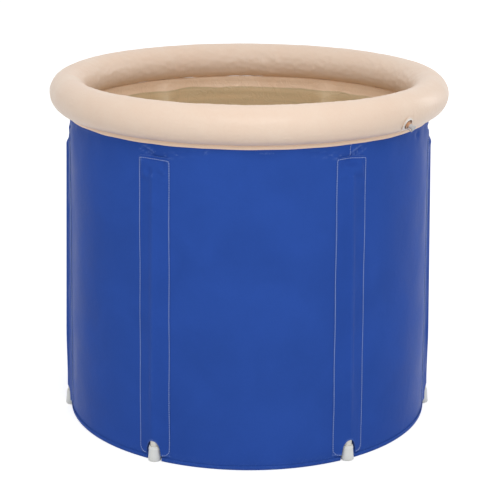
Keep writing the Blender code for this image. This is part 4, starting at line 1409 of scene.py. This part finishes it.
add_turned(
    "drain_screw_cap",
    cap,
    0.0004,
    drain_frame,
    white_drain,
    "cap",
    "white_plastic",
    "drain_cap",
    steps=180,
    relief=grip_relief,
)
plug = [(0, -0.0081), (0.0091, -0.0081), (0.0097, -0.0165), (0.0125, -0.0165), (0.0125, -0.0195)]
plug += [(0.0030, -0.0195), (0.0030, -0.0228), (0.0060, -0.0228), (0.0060, -0.0268), (0, -0.0268)]
add_turned(
    "drain_plug", plug, 0.0009, drain_frame, black_rubber, "inner_stopper", "black_rubber", "drain_stopper"
)
bpy.data.objects["drain_gasket"].material_slots[0].material = black_rubber

# The tub stands alone on a plain white studio floor under broad soft light. The floor and the world
# look brighter to the camera than the light that they give the tub.
floor_colour = (0.76, 0.76, 0.76, 1)
camera_turn = math.radians(-1.479)
camera_stand = (0, -2.767, 1.1303)
camera_dip = 0.2891
camera_roll = 0.0062
floor_half_width = 40
floor_height = -0.0004
floor_glow = 0.58
world_light = 0.70
scene = bpy.context.scene
scene.view_settings.view_transform = "Standard"


def camera_share(tree):
    """1 where the camera sees a surface straight, mirrored or through glass, and 0 for other light."""
    rays = tree.nodes.new("ShaderNodeLightPath").outputs
    seen = calculate(tree, "MAXIMUM", rays["Is Camera Ray"], rays["Is Glossy Ray"])
    return calculate(tree, "MAXIMUM", seen, rays["Is Transmission Ray"])


def add_lamp(name, place, aim, size, size_y, power):
    """A soft rectangular lamp that faces a point."""
    light = bpy.data.lights.new(name, "AREA")
    light.shape = "RECTANGLE"
    light.size = size
    light.size_y = size_y
    light.energy = power
    lamp = add_object(name, light)
    lamp.location = place
    lamp.rotation_euler = (Vector(aim) - Vector(place)).to_track_quat("-Z", "Y").to_euler()


world = bpy.data.worlds.new("studio")
world.use_nodes = True
sky = world.node_tree.nodes["Background"]
sky.inputs["Color"].default_value = (1, 1, 1, 1)
brightness = spread(world.node_tree, camera_share(world.node_tree), 0.0, 1.0, world_light, 1.0)
world.node_tree.links.new(brightness, sky.inputs["Strength"])
scene.world = world

floor_mesh = bpy.data.meshes.new("studio_floor")
signs = ((-1, -1), (1, -1), (1, 1), (-1, 1))
floor_corners = [(x * floor_half_width, y * floor_half_width, floor_height) for x, y in signs]
floor_mesh.from_pydata(floor_corners, [], [(0, 1, 2, 3)])
floor_material = bpy.data.materials.new("studio_floor")
floor_material.use_nodes = True
floor_tree = floor_material.node_tree
floor_shader = floor_tree.nodes["Principled BSDF"]
floor_shader.inputs["Base Color"].default_value = floor_colour
floor_shader.inputs["Roughness"].default_value = 0.9
floor_shader.inputs["Specular IOR Level"].default_value = 0.1
floor_shader.inputs["Emission Color"].default_value = (1, 1, 1, 1)
glow = spread(floor_tree, camera_share(floor_tree), 0.0, 1.0, 0.0, floor_glow)
floor_tree.links.new(glow, floor_shader.inputs["Emission Strength"])
floor_mesh.materials.append(floor_material)
add_object("studio_floor", floor_mesh)

add_lamp("front_softbox", (0.1, -1.6, 1.55), (0, -0.2, 0.45), size=1.2, size_y=0.9, power=10.5)
add_lamp("right_strip", (2.2, 1.2, 1.1), (0.2, 0, 0.35), size=0.25, size_y=1.2, power=7)
add_lamp("top_softbox", (0, 0.3, 2.3), (0, 0, 0.30), size=1.2, size_y=1.2, power=2)

camera_data = bpy.data.cameras.new("camera")
camera_data.lens = 106.11
camera_data.sensor_width = 36
camera_data.shift_x = 0.0039
camera = add_object("camera", camera_data)
camera_place = Matrix.Rotation(camera_turn, 4, "Z") @ Matrix.Translation(camera_stand)
camera_place = camera_place @ Matrix.Rotation(math.pi / 2 - camera_dip, 4, "X")
camera.matrix_world = camera_place @ Matrix.Rotation(camera_roll, 4, "Z")
scene.camera = camera
